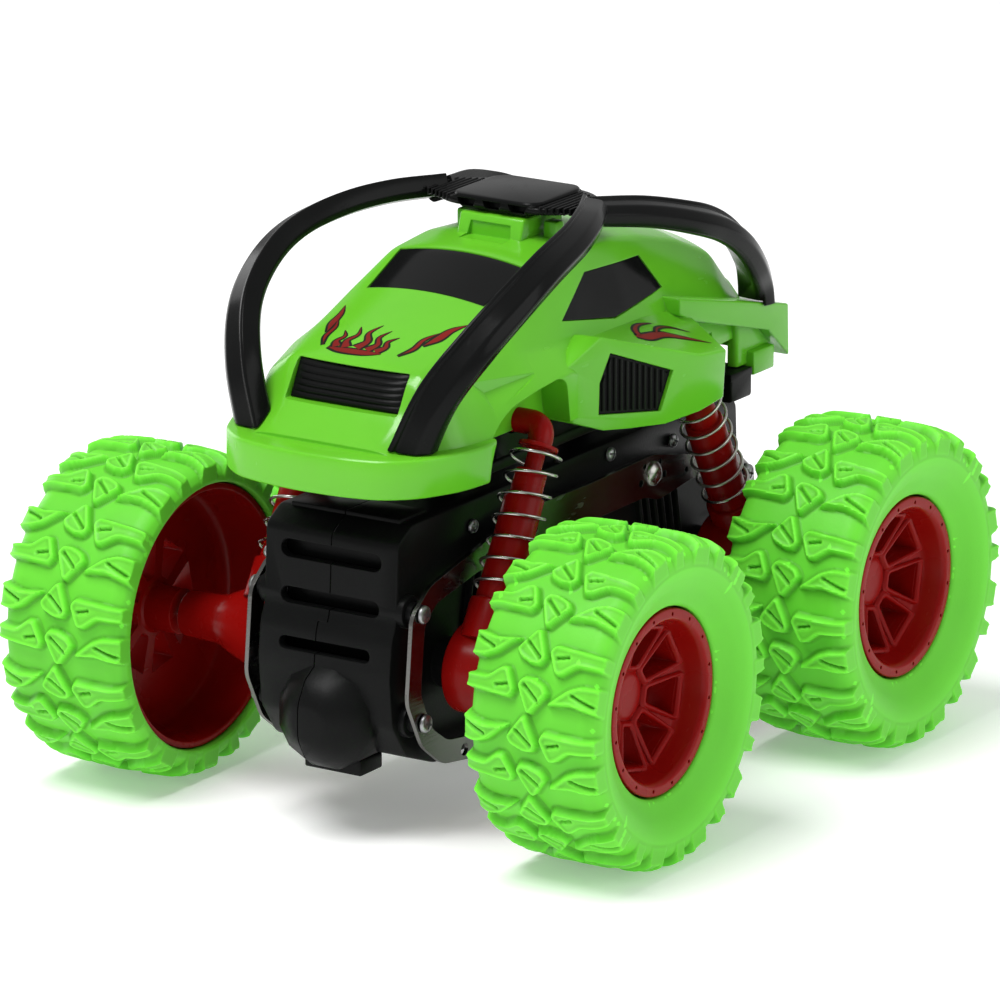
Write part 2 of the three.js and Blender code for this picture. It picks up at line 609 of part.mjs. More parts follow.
function placeBody() {
  const outer = [
    hull(0, 69, HULL),
    planPrism(bumperOutline(0), BUMPER_LOW, LEDGE),
    block([-8, -6.8, 96], [6.3, 6.8, 101.6]),
  ];
  outer.push(planPrism([
    [-50, -18], [-50, 18], [-62, 18], [-64.6, 12], [-64.6, -12], [-62, -18],
  ], 63.5, 72.2));
  for (const sign of [1, -1]) {
    const span = (a, b) => (sign > 0 ? [a, b] : [-b, -a]);
    outer.push(sidePrism(WING, ...span(WING_IN, WING_OUT)));
    outer.push(sign > 0 ? podBody(0) : mirrored(podBody(0)));
    outer.push(block([-61, span(14, 19.6)[0], 61.4], [-53.5, span(14, 19.6)[1], 66]));
  }
  const cavity = [
    hull(WALL, 60, HULL.slice(1, -1)),
    planPrism(bumperOutline(WALL), BUMPER_LOW - 5, LEDGE - WALL),
    planPrism([[-48, -16], [-48, 16], [-61, 16], [-63, 11], [-63, -11], [-61, -16]], 60, 70.4),
    block([-48, -16.4, 60], [38, 16.4, 73]),
  ];
  const rearPocket = block([-42, 16.6, 55], [-16, 28.2, 74]);
  const podHollow = podBody(WALL);
  const arch = sidePrism(ARCH, 17.4, 40);
  for (const hollow of [rearPocket, podHollow, arch]) cavity.push(hollow, mirrored(hollow));
  const recesses = [
    leaningSlab(WINDSHIELD, 3, -INSERT_DEPTH, 0), leaningSlab(GRILLE, 4, -INSERT_DEPTH, 0),
  ];
  for (const side of [(g) => g, mirrored]) {
    recesses.push(side(curvedSlab(POD_WINDOW, podFace, -INSERT_DEPTH, 4)));
    recesses.push(side(curvedSlab(SIDE_WINDOW, cabinSide, -0.9, 4)));
  }
  add("body_shell", cut(join(...outer), ...cavity, ...recesses), GREEN);
  const lift = -INSERT_DEPTH + GAP;
  add("windshield", leaningSlab(WINDSHIELD, 0.2, lift, GAP), GLOSS_BLACK);
  add("grille", leaningSlab(GRILLE, 0.9, lift, GAP), BLACK);
  for (const [side, place] of [["left", (g) => g], ["right", mirrored]]) {
    const pod = curvedSlab(shrink(POD_WINDOW, 0.5), podFace, -INSERT_DEPTH + GAP, -0.4);
    const glass = curvedSlab(shrink(SIDE_WINDOW, 0.5), cabinSide, -0.6, 0.2);
    add(`pod_grille_${side}`, place(pod), BLACK);
    add(`side_window_${side}`, place(glass), GLOSS_BLACK);
  }
}

// ---- roll cage ----
// Centre lines of the left arms, from the foot up to the middle plane.
const CAGE_FRONT = [[56.8, 16.3, 71], [54.2, 20.6, 82], [47.6, 24.8, 90.6], [38.6, 26.8, 96.6],
  [29, 26.8, 100.4], [17, 24.8, 102.8], [6.8, 21.2, 103.8], [CAGE_MID_X, 16.2, 103.6]];
const CAGE_REAR = [[-59.5, 17, 71], [-56, 18.6, 79], [-50, 21, 84.4], [-43, 22.5, 89.9], [-35, 23, 94.4],
  [-26, 22.5, 97.6], [-15, 20, 100.6], [CAGE_MID_X, 16.4, 102.6]];

function cageArm(line, sign) {
  const curve = new THREE.CatmullRomCurve3(line.map(([x, y, z]) => v3(x, sign * y, z)));
  const steps = 10;
  const rings = [];
  for (let i = 0; i <= steps; i += 1) {
    const t = i / steps;
    const point = curve.getPointAt(t);
    const tangent = curve.getTangentAt(t);
    const out = v3(point.x - CAGE_MID_X, point.y * 1.2, (point.z - 60) * 1.1).normalize();
    out.addScaledVector(tangent, -out.dot(tangent)).normalize();
    const across = tangent.clone().cross(out).normalize();
    const half = THREE.MathUtils.lerp(3.9, 2.7, t);
    const thick = THREE.MathUtils.lerp(2.6, 2, t);
    const section = [[-1, -0.7], [-0.7, -1], [0.7, -1], [1, -0.7], [0.8, 0.8], [-0.8, 0.8]];
    rings.push(section.map(([a, b]) => point.clone().addScaledVector(across, a * half)
      .addScaledVector(out, b * thick)));
  }
  return loft(rings);
}

function placeCage() {
  const bridge = planPrism([
    [6, -9], [6, 9], [4, 16], [CAGE_MID_X, 20], [-10, 16], [-12, 9], [-12, -9], [-10, -16],
    [CAGE_MID_X, -20], [4, -16],
  ], LEDGE + 29.9, 106);
  const vents = [-6, 0, 6].map((y) => block([3, y - 1.9, 103], [8, y + 1.9, 104.8]));
  const arms = [CAGE_FRONT, CAGE_REAR].flatMap((line) => [1, -1].map((sign) => cageArm(line, sign)));
  const wingTop = WING.map(([x, z]) => [x, z + GAP]);
  const seats = [
    hull(-GAP, 60, HULL),
    sidePrism(wingTop, WING_IN - GAP, WING_OUT + GAP),
    sidePrism(wingTop, -WING_OUT - GAP, GAP - WING_IN),
    block([30, -40, 60], [80, 40, LEDGE + GAP]),
    block([-80, -40, 60], [-40, 40, 74.6]),
  ];
  const cage = cut(join(bridge, ...arms), ...vents, ...seats);
  add("roll_cage", cage, BLACK);
}

placeWheels();
placeGears();
placeCase();
placePlates();
placeShocks();
placeTray();
placeBody();
placeCage();

export default car;
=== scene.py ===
"""Looks, light and camera for the toy stunt car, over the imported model's frame.
Pieces are drawn in millimetres, and stage, lights and camera in metres; +X forward, +Y left, +Z up."""
import math
import bmesh
import bpy
import numpy as np
from mathutils import Matrix, Vector
from mathutils.bvhtree import BVHTree
from mathutils.geometry import delaunay_2d_cdt
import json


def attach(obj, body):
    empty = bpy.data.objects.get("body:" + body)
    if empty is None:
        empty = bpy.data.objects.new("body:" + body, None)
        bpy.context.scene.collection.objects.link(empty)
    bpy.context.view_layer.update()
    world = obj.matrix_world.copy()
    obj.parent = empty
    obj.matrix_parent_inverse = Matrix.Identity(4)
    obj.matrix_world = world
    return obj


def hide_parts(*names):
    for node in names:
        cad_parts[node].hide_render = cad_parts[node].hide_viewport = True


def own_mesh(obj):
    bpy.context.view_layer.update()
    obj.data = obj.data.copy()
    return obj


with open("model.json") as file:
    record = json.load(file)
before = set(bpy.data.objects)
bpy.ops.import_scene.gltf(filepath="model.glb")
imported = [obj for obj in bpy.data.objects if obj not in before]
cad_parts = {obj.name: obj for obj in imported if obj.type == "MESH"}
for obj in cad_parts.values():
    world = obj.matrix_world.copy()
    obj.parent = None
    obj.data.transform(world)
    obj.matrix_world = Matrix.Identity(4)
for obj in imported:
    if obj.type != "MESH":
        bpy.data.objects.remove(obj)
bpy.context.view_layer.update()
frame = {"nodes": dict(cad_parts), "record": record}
bpy.context.scene.view_settings.view_transform = "Standard"
MM = 0.001
ENDS = (("front", 1), ("rear", -1))
SIDES = (("left", 1), ("right", -1))

# ---- materials ----


def surface(name, color, rough, metallic=0.0, vary=0.06, grain=0.05, grain_scale=2200.0, edge=0.25,
            depth=0.0, gleam=0.5, scuff=0.0, streak=(1, 1, 1), cavity=0.0):
    """A procedural finish: patchy colour and gloss, fine grain, softened edges and light scuffs, and with `cavity`
    painted shade in hollows and painted highlight on ridges.
    """
    mat = bpy.data.materials.new(name)
    mat.use_nodes = True
    tree = mat.node_tree
    bsdf = tree.nodes["Principled BSDF"]
    link = tree.links.new

    def add(kind, **values):
        made = tree.nodes.new("ShaderNode" + kind)
        for key, value in values.items():
            made.inputs[key.replace("_", " ")].default_value = value
        return made

    def noise(where, scale, detail):
        made = add("TexNoise", Scale=scale, Detail=detail)
        link(where, made.inputs["Vector"])
        return made.outputs["Fac"]

    def stretched(**values):
        made = add("Mapping", **values)
        link(where, made.inputs["Vector"])
        return made.outputs["Vector"]

    def remap(value, low, high, to_low, to_high):
        made = add("MapRange", From_Min=low, From_Max=high, To_Min=to_low, To_Max=to_high)
        link(value, made.inputs["Value"])
        return made.outputs["Result"]

    def scaled(factor):
        made = add("VectorMath")
        made.operation = "SCALE"
        link(factor, made.inputs["Scale"])
        return made

    where = add("TexCoord").outputs["Object"]
    broad = noise(where, 55.0, 4.0)
    fine = noise(stretched(Scale=streak), grain_scale, 3.0)
    tint = scaled(remap(broad, 0.3, 0.7, 1.0 - vary, 1.0 + vary))
    tint.inputs[0].default_value = color
    shade = tint.outputs["Vector"]
    # Painted shade and painted highlight: the colour is darkened in hollows and lightened on ridges, following the
    # surface's pointiness.
    if cavity:
        curve = add("NewGeometry").outputs["Pointiness"]
        painted_shade_and_highlight = scaled(remap(curve, 0.44, 0.56, 1.0 - cavity, 1.0 + 0.5 * cavity))
        link(shade, painted_shade_and_highlight.inputs[0])
        shade = painted_shade_and_highlight.outputs["Vector"]
    link(shade, bsdf.inputs["Base Color"])
    shine = remap(broad, 0.3, 0.7, max(rough - 0.05, 0.02), rough + 0.07)
    if scuff:
        marks = noise(stretched(Scale=(0.12, 1.0, 0.5), Rotation=(0.3, 0.5, 0.4)), 900.0, 2.0)
        total = add("Math")
        total.operation = "ADD"
        link(shine, total.inputs[0])
        link(remap(marks, 0.66, 0.72, 0.0, scuff), total.inputs[1])
        shine = total.outputs["Value"]
    link(shine, bsdf.inputs["Roughness"])
    bump = add("Bump", Strength=grain, Distance=0.0002)
    link(fine, bump.inputs["Height"])
    if edge:
        soft = add("Bevel", Radius=edge * MM)
        soft.samples = 4
        link(soft.outputs["Normal"], bump.inputs["Normal"])
    link(bump.outputs["Normal"], bsdf.inputs["Normal"])
    bsdf.inputs["Metallic"].default_value = metallic
    bsdf.inputs["Specular IOR Level"].default_value = gleam
    if depth:
        bsdf.inputs["Subsurface Weight"].default_value = depth
        bsdf.inputs["Subsurface Scale"].default_value = 0.003
        bsdf.inputs["Subsurface Radius"].default_value = (0.5, 1.0, 0.25)
    return mat


COAL = (0.0052, 0.0054, 0.0054)
LENGTHWISE = (0.1, 1.0, 1.0)
GREEN = surface("green_body", (0.128, 0.500, 0.020), 0.2, vary=0.03, grain=0.02, depth=0.1, gleam=0.36,
                scuff=0.05)
# The tyre's `cavity` paints shade into the tread's hollows and a highlight onto its ridges.
TYRE = surface("green_tyre", (0.150, 0.670, 0.040), 0.45, vary=0.05, grain=0.12, grain_scale=1500.0, edge=0,
               depth=0.12, gleam=0.25, cavity=0.42)
RED = surface("red_plastic", (0.240, 0.0030, 0.0022), 0.26, vary=0.07, grain=0.03, gleam=0.12,
              scuff=0.05)
BLACK = surface("black_plastic", COAL, 0.32, vary=0.1, grain=0.10, gleam=0.08, scuff=0.08)
CAGE = surface("cage_plastic", COAL, 0.18, vary=0.1, grain=0.04, edge=0.3, gleam=0.09, scuff=0.06)
GLOSS = surface("gloss_black", (0.0060, 0.0062, 0.0062), 0.12, vary=0.08, grain=0.015, gleam=0.12, scuff=0.05)
STEEL = surface("plated_steel", (0.40, 0.39, 0.37), 0.27, metallic=1.0, vary=0.1, grain=0.12,
                streak=LENGTHWISE, edge=0.12, scuff=0.2)
# The same plated steel given a darker colour for the side plates: a painted dark reflection.
STEEL_PAINTED_DARK = surface("steel_with_painted_dark_reflection", (0.15, 0.147, 0.14), 0.24, metallic=1.0, vary=0.12, grain=0.12,
                     streak=LENGTHWISE, edge=0.1, scuff=0.2)
WIRE = surface("spring_wire", (0.52, 0.51, 0.48), 0.25, metallic=1.0, vary=0.1, grain=0.05, edge=0)
ZINC = surface("zinc_screw", (0.34, 0.34, 0.35), 0.38, metallic=1.0, vary=0.12, grain=0.1, edge=0.08,
               scuff=0.2)
NATURAL = surface("natural_plastic", (0.75, 0.72, 0.64), 0.45, vary=0.05, grain=0.05)
INK_DARK = surface("decal_dark", (0.007, 0.010, 0.004), 0.35, vary=0.2, grain=0.05, edge=0, gleam=0.2)
INK_RED = surface("decal_red", (0.19, 0.006, 0.003), 0.35, vary=0.25, grain=0.05, edge=0, gleam=0.2)
SLOTS = {
    "green_body": GREEN, "green_tyre": TYRE, "red_plastic": RED, "black_plastic": BLACK,
    "gloss_black": GLOSS, "steel": STEEL, "spring_wire": WIRE, "zinc_screw": ZINC,
    "natural_plastic": NATURAL,
}

# ---- mesh helpers ----


def add_object(name, data):
    obj = bpy.data.objects.new(name, data)
    bpy.context.scene.collection.objects.link(obj)
    return obj


def make(name, verts, faces, mat=None, angle=32.0):
    """An object from points in millimetres, welded, facing out, smooth below the given edge angle."""
    mesh = bpy.data.meshes.new(name)
    mesh.from_pydata((np.asarray(verts, float) * MM).tolist(), [], faces)
    if mat:
        mesh.materials.append(mat)
    return clean(add_object(name, mesh), angle)


def clean(obj, angle):
    """Welds an object's mesh, turns its faces out and shades it."""
    mesh = obj.data
    work = bmesh.new()
    work.from_mesh(mesh)
    bmesh.ops.remove_doubles(work, verts=work.verts, dist=2e-6)
    bmesh.ops.recalc_face_normals(work, faces=work.faces)
    work.to_mesh(mesh)
    work.free()
    mesh.shade_smooth()
    mesh.set_sharp_from_angle(angle=math.radians(angle))
    return obj


def grid_faces(rows, cols, wrap_rows=False, wrap_cols=False):
    """The four-sided faces of a grid of points."""
    r = np.arange(rows if wrap_rows else rows - 1)
    c = np.arange(cols if wrap_cols else cols - 1)
    a, b = np.meshgrid(r, c, indexing="ij")
    a2, b2 = (a + 1) % rows, (b + 1) % cols
    quads = np.stack([a * cols + b, a * cols + b2, a2 * cols + b2, a2 * cols + b], -1)
    return quads.reshape(-1, 4).tolist()


def loft(name, rings, mat=None, angle=32.0):
    """A closed body through rings of points."""
    rings = np.asarray(rings, float)
    rows, cols = rings.shape[:2]
    faces = grid_faces(rows, cols, wrap_cols=True)
    faces.append(list(range(cols)))
    faces.append([(rows - 1) * cols + i for i in range(cols)])
    return make(name, rings.reshape(-1, 3), faces, mat, angle)


def prism(name, outline, low, high, along, mat=None, angle=32.0):
    """An outline thickened along one axis; `along` is 0, 1 or 2."""
    rings = []
    for level in sorted((low, high)):
        rings.append([np.insert(np.asarray(p, float), along, level) for p in outline])
    return loft(name, rings, mat, angle)


def box(name, xs, ys, zs, mat=None):
    """A block from its two ends along each axis."""
    (x0, x1), (y0, y1) = sorted(xs), sorted(ys)
    return prism(name, [(x0, y0), (x1, y0), (x1, y1), (x0, y1)], *zs, 2, mat)


def rounded(points, radius, steps=4, closed=True):
    """A polyline with its corners rounded; radius is one number or one per point."""
    points = [np.asarray(p, float) for p in points]
    count = len(points)
    radii = radius if isinstance(radius, (list, tuple)) else [radius] * count
    out = []
    for i, p in enumerate(points):
        if not radii[i] or (not closed and i in (0, count - 1)):
            out.append(p)
            continue
        before, after = points[i - 1], points[(i + 1) % count]
        la, lb = np.linalg.norm(before - p), np.linalg.norm(after - p)
        d = min(radii[i], 0.48 * la, 0.48 * lb)
        a, b = p + (before - p) * d / la, p + (after - p) * d / lb
        for t in np.linspace(0, 1, steps + 1):
            out.append((1 - t) ** 2 * a + 2 * t * (1 - t) * p + t * t * b)
    return out


def lathe(name, profile, start, end, mat=None, segments=64, angle=32.0):
    """A profile of (distance along, radius) turned round the line from start towards end."""
    start, end = np.asarray(start, float), np.asarray(end, float)
    axis = (end - start) / np.linalg.norm(end - start)
    side = np.cross(axis, (0.0, 0.0, 1.0) if abs(axis[2]) < 0.9 else (1.0, 0.0, 0.0))
    side /= np.linalg.norm(side)
    up = np.cross(axis, side)
    turn = np.linspace(0, 2 * math.pi, segments, endpoint=False)
    spokes = np.cos(turn)[:, None] * side + np.sin(turn)[:, None] * up
    rings = [start + axis * s + max(r, 1e-3) * spokes for s, r in profile]
    return loft(name, rings, mat, angle)


def bar(name, low, high, radius, start, end, segments=24, soft=0.0, steps=3, mat=None):
    """A round bar between two distances along the line from start towards end, with softened ends."""
    corners = [(low, 0), (low, radius), (high, radius), (high, 0)]
    return lathe(name, rounded(corners, [0, soft, soft, 0], steps, closed=False), start, end, mat, segments)


def tube(name, path, radius, mat, segments):
    """A round bar along a path of points."""
    path = np.asarray(path, float)
    tangents = np.gradient(path, axis=0)
    tangents /= np.linalg.norm(tangents, axis=1)[:, None]
    side = np.cross(tangents[0], (0.3, 0.5, 0.81))
    turn = np.linspace(0, 2 * math.pi, segments, endpoint=False)
    rings = []
    for p, t in zip(path, tangents):
        side = side - t * side.dot(t)
        side /= np.linalg.norm(side)
        up = np.cross(t, side)
        rings.append(p + radius * (np.cos(turn)[:, None] * side + np.sin(turn)[:, None] * up))
    return loft(name, rings, mat, 40.0)


def apply(obj, angle=32.0):
    """Turns an object's modifiers into mesh, with its first material throughout."""
    mats = [m for m in obj.data.materials if m][:1]
    graph = bpy.context.evaluated_depsgraph_get()
    mesh = bpy.data.meshes.new_from_object(obj.evaluated_get(graph))
    obj.modifiers.clear()
    mesh.materials.clear()
    for mat in mats:
        mesh.materials.append(mat)
    mesh.polygons.foreach_set("material_index", [0] * len(mesh.polygons))
    obj.data = mesh
    return clean(obj, angle)


def combine(base, tools, operation="DIFFERENCE", angle=32.0):
    """Joins, cuts or trims a base with tools, which are used up."""
    for tool in tools:
        step = base.modifiers.new("step", "BOOLEAN")
        step.operation = operation
        step.solver = "MANIFOLD"
        step.object = tool
    apply(base, angle)
    for tool in tools:
        bpy.data.objects.remove(tool)
    return base


def bevel(obj, width, segments=2):
    step = obj.modifiers.new("edges", "BEVEL")
    step.width = width * MM
    step.segments = segments
    step.limit_method = "ANGLE"
    step.angle_limit = math.radians(28)
    return apply(obj)


def both(maker):
    """A tool on the left and its mirror twin on the right."""
    left = maker()
    twin = add_object(left.name + "_twin", left.data.copy())
    twin.data.transform(Matrix.Scale(-1, 4, (0, 1, 0)))
    twin.data.flip_normals()
    return [left, twin]


def detail(obj, body, slot_name):
    """Puts a finished piece on its body."""
    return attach(obj, body)


def show(obj, body, replaced, slot_name):
    """Puts a finished piece on its body in place of a CAD node."""
    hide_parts(replaced)
    return detail(obj, body, slot_name)


# ---- tyres ----
WHEEL_R, AXLE_X, SHAFT_END = 30.0, 42.0, 51.9
PERIODS = 12
PITCH = 2 * math.pi * WHEEL_R / PERIODS
TREAD_MID, TREAD_DEPTH = 49.55, 1.62
TYRE_IN, TYRE_OUT = 36.42, 62.68
TILE_ROWS, TREAD_COLS = 52, 132
# One side's lugs on the unrolled tread, as (across, along); the other side is the same turned round.
BLOCK_LUG = [(2.5, 0), (3.5, 1.5), (11, 1), (18, 1), (18, -2), (8.5, -2), (6, -4), (4.5, -4)]
FIN_LUG = [(3.5, -9.5), (7.5, -6), (10, -5), (18, -5), (18, -11.5), (8.5, -9)]
MID_LUG = [(-2.5, -6.5), (-1.5, -5), (0.5, -5), (3, -6), (4, -7.5), (1, -11.5), (0, -11.5)]
LUGS = [
    (BLOCK_LUG, (4.5, -1), (6.5, -0.5)),
    (FIN_LUG, (8.5, -7), (12, -8.5)),
    (MID_LUG, (-1, -6.5), (2, -9)),
]


def inside_distance(px, py, outline):
    """Distance to an outline's edge, positive inside."""
    best = np.full(px.shape, 1e9)
    sign = np.ones(px.shape)
    count = len(outline)
    for i in range(count):
        (ax, ay), (bx, by) = outline[i], outline[(i + 1) % count]
        ex, ey = bx - ax, by - ay
        wx, wy = px - ax, py - ay
        t = np.clip((wx * ex + wy * ey) / (ex * ex + ey * ey), 0, 1)
        best = np.minimum(best, np.hypot(wx - ex * t, wy - ey * t))
        crosses = ((ay <= py) != (by <= py)) & (px < ex * (py - ay) / (ey if ey else 1e-9) + ax)
        sign = np.where(crosses, -sign, sign)
    return -sign * best


def smooth(x, low, high):
    """An S-shaped step from 0 at low to 1 at high."""
    t = np.clip((x - low) / (high - low), 0, 1)
    return t * t * (3 - 2 * t)


def lug_height(across, along):
    """Height of the tread from 0 in the valleys to 1 on the lugs, whose tops have a raised rim and a slit."""
    height = np.zeros(across.shape)
    for turned in (False, True):
        a = -across if turned else across
        b = -along - PITCH / 2 if turned else along
        for outline, start, end in LUGS:
            corners = rounded(outline, 0.7, 3)
            for wrap in (-2, -1, 0, 1, 2):
                bb = b + wrap * PITCH
                d = inside_distance(a, bb, corners)
                top = 0.84 * smooth(d, -0.3, 0.4) + 0.16 * np.exp(-((d - 0.55) / 0.3) ** 2)
                ex, ey = end[0] - start[0], end[1] - start[1]
                t = np.clip(((a - start[0]) * ex + (bb - start[1]) * ey) / (ex * ex + ey * ey), 0, 1)
                gap = np.hypot(a - start[0] - ex * t, bb - start[1] - ey * t)
                top -= 0.42 * (1 - smooth(gap, 0.08, 0.42)) * smooth(d, 0.0, 0.3)
                height = np.maximum(height, top)
    return height


def tyre_mesh():
    """The left tyre round the Y axis: an evenly divided section line, raised by the tread, and two beads."""
    corners = [(62.62, 24.2), (62.55, 25.9), (61.7, 27.2), (60.0, 28.0), (55.5, 28.35), (TREAD_MID, 28.4),
               (43.6, 28.35), (39.1, 28.0), (37.4, 27.2), (36.55, 25.9), (36.5, 25.0)]
    line = np.array(rounded(corners, 1.4, 5, closed=False))
    length = np.concatenate([[0], np.cumsum(np.linalg.norm(np.diff(line, axis=0), axis=1))])
    even = np.linspace(0, length[-1], TREAD_COLS)
    y, r = np.interp(even, length, line[:, 0]), np.interp(even, length, line[:, 1])
    middle = np.interp(TREAD_MID, y[::-1], even[::-1])
    across = middle - even
    ty, tr = np.gradient(y), np.gradient(r)
    scale = np.hypot(ty, tr)
    ny, nr = tr / scale, -ty / scale
    count = PERIODS * TILE_ROWS
    angle = np.linspace(0, 2 * math.pi, count, endpoint=False)
    a, b = np.meshgrid(across, angle[:TILE_ROWS] * WHEEL_R)
    height = lug_height(a, b) * TREAD_DEPTH * (1 - smooth(np.abs(a), 13.1, 15.0))
    height = np.tile(height, (PERIODS, 1))
    rr = r[None, :] + nr[None, :] * height
    yy = np.clip(y[None, :] + ny[None, :] * height, TYRE_IN, TYRE_OUT)
    rr = np.minimum(rr, WHEEL_R - 0.01)
    bead_out = np.array(rounded([(56.0, 17.1), (59.0, 17.05), (59.5, 17.5), (60.4, 19.2), (61.8, 21.6),
                                 (62.62, 24.2)], [0, 0.6, 0.4, 2.0, 2.5, 0], 5, closed=False))[:-1]
    bead_in = np.array(rounded([(36.5, 25.0), (36.6, 24.55), (37.2, 24.4), (51.8, 24.4), (51.8, 17.1)],
                               [0, 0.3, 0.3, 0, 0], 3, closed=False))[1:]
    outer = np.broadcast_to(bead_out, (count,) + bead_out.shape)
    inner = np.broadcast_to(bead_in, (count,) + bead_in.shape)
    section = np.concatenate([outer, np.stack([yy, rr], -1), inner], axis=1)
    points = np.stack([section[..., 1] * np.cos(angle)[:, None], section[..., 0],
                       section[..., 1] * np.sin(angle)[:, None]], -1)
    rows, cols = points.shape[:2]
    return make("tyre", points.reshape(-1, 3), grid_faces(rows, cols, True, True), TYRE, 50.0)


# ---- rims ----
RIM_WINDOWS, RIM_DOTS, DOT_RING = 8, 16, 15.65


def face_depth(r):
    """How far out the dished face lies at a radius."""
    return 51.3 + (r - 3.5) * 0.32


def rim_mesh():
    """The left rim round the Y axis: cup, hub, dished face with framed windows, and a dotted lip."""
    profile = rounded([
        (0.0, 42.7), (1.75, 42.7), (4.2, 42.5), (4.2, 48.6), (20.5, 49.2), (22.6, 48.2), (23.0, 37.75),
        (24.2, 37.75), (24.2, 51.4), (16.65, 51.4), (16.65, 59.15), (14.9, 59.15), (14.3, 58.5),
        (13.35, 55.2), (12.9, face_depth(12.9)), (4.6, face_depth(4.6)), (3.8, 52.2), (2.2, 52.3), (0.0, 52.3),
    ], [0, 0, 0.3, 1.2, 1.5, 1.2, 0.4, 0.3, 0.2, 0.2, 0.3, 0.3, 0.6, 1.6, 1.0, 0.5, 0.4, 0.8, 0], 3,
        closed=False)
    rim = lathe("rim", [(y, r) for r, y in profile], (0, 0, 0), (0, 1, 0), RED, 144, 28.0)
    cutters, frames = [], []
    for i in range(RIM_WINDOWS):
        turn = math.radians(147 - 360 / RIM_WINDOWS * i)

        def spot(r, half, turn=turn):
            return (r * math.cos(turn) - half * math.sin(turn), r * math.sin(turn) + half * math.cos(turn))

        window = rounded([spot(5.5, -1.15), spot(12.0, -3.5), spot(12.0, 3.5), spot(5.5, 1.15)], 0.5, 3)
        cutters.append(prism("window", window, 44, 60, 1))
        rings = []
        for r_in, r_out, wide_in, wide_out, lift in (
                (4.35, 12.95, 2.0, 4.55, -1.5), (4.35, 12.95, 2.0, 4.55, 0.35),
                (4.75, 12.75, 1.7, 4.2, 0.75), (5.15, 12.3, 1.45, 3.85, 0.75),
                (5.45, 12.05, 1.2, 3.55, 0.4), (5.45, 12.05, 1.2, 3.55, -1.5)):
            corners = rounded([spot(r_in, -wide_in), spot(r_out, -wide_out), spot(r_out, wide_out),
                               spot(r_in, wide_in)], 0.6, 3)
            rings.append([(p[0], face_depth(math.hypot(*p)) + lift, p[1]) for p in corners])
        rings = np.array(rings)
        faces = grid_faces(len(rings), rings.shape[1], True, True)
        frames.append(make("frame", rings.reshape(-1, 3), faces))
    combine(rim, frames, "UNION", 28.0)
    combine(rim, cutters, "DIFFERENCE", 28.0)
    dots = []
    for i in range(RIM_DOTS):
        turn = math.radians(360 / RIM_DOTS * i + 11)
        x, z = DOT_RING * math.cos(turn), DOT_RING * math.sin(turn)
        profile = [(58.75, 0.0), (58.75, 0.3), (60, 0.42), (60, 0)]
        dots.append(lathe("dot", profile, (x, 0, z), (x, 1, z), None, 12))
    return combine(rim, dots, "DIFFERENCE", 28.0)


def place_wheels():
    tyre, rim = tyre_mesh(), rim_mesh()
    for end, ex in ENDS:
        for side, sy in SIDES:
            spin = Matrix.Translation((ex * AXLE_X * MM, 0, WHEEL_R * MM))
            if sy < 0:
                spin = spin @ Matrix.Rotation(math.pi, 4, "Z")
            for piece, word, slot_name in ((tyre, "tyre", "green_tyre"), (rim, "rim", "red_plastic")):
                twin = add_object(f"{end}_{side}_{word}_fine", piece.data)
                twin.matrix_world = spin
                show(twin, f"{end}_axle", f"{end}_{side}_{word}", slot_name)
        x = ex * AXLE_X
        ends = [(-SHAFT_END, 0), (-SHAFT_END, 1.3), (0.2 - SHAFT_END, 1.5)]
        shaft = lathe(f"{end}_axle_shaft_fine", ends + [(-s, r) for s, r in ends[::-1]], (x, 0, WHEEL_R),
                      (x, 1, WHEEL_R), STEEL, 32)
        show(shaft, f"{end}_axle", f"{end}_axle_shaft", "steel")
    for piece in (tyre, rim):
        bpy.data.objects.remove(piece)


place_wheels()

# ---- shock legs ----
LEAN = math.radians(29)
SHOCK_Y = 23.0
SHOCK_MID = (32.5, 54.5)
ROD_TOP = 18.3
COIL_R, WIRE_R, COIL_TURNS = 4.5, 0.3, 7.2


def leg_point(along, ex, sy):
    """A point on a shock's axis, at a distance above its middle."""
    return np.array([ex * (SHOCK_MID[0] - along * math.sin(LEAN)), sy * SHOCK_Y,
                     SHOCK_MID[1] + along * math.cos(LEAN)])


def place_sleeve(name, ex, sy):
    """The bell over the axle and the stepped tube above it, bored for the rod and the axle."""
    start, far = leg_point(0, ex, sy), leg_point(1, ex, sy)
    hub = np.array([ex * AXLE_X, 0, WHEEL_R])
    out = hub + (0, sy, 0)

    def taper(word, points, soft):
        return lathe(word, rounded(points, [0, 0, soft, 0], 3, closed=False), start, far, None, 48)

    bell = lathe(f"{name}_sleeve_fine", rounded([
        (18.35, 2.1), (18.35, 8.2), (21.4, 8.25), (23.0, 8.0), (26.2, 7.2), (30.2, 5.9), (32.6, 4.7),
        (34.5, 4.35), (40.9, 4.3), (40.9, 2.0), (19, 2.0)],
        [0, 0.5, 1.0, 1.5, 3, 3, 1.5, 1.0, 0.4, 0, 0], 4, closed=False), hub, out, RED, 80, 30)
    lower = taper("lower", [(-21, 0), (-21, 3.72), (5.2, 3.6), (5.2, 0)], 0.5)
    upper = taper("upper", [(4, 0), (4, 2.95), (9.7, 2.85), (9.7, 0)], 0.4)
    foot = taper("foot", [(-22.0, 0), (-22.0, 4.6), (-14.6, 4.5), (-13.9, 0)], 0.5)
    combine(bell, [lower, upper, foot], "UNION", 30)
    bore = bar("bore", -12, 13, 1.85, start, far)
    axle_hole = bar("hole", -60, 60, 2.0, hub, out)
    combine(bell, [bore, axle_hole], "DIFFERENCE", 30)
    show(bell, f"{name}_sleeve", f"{name}_shock_sleeve", "red_plastic")


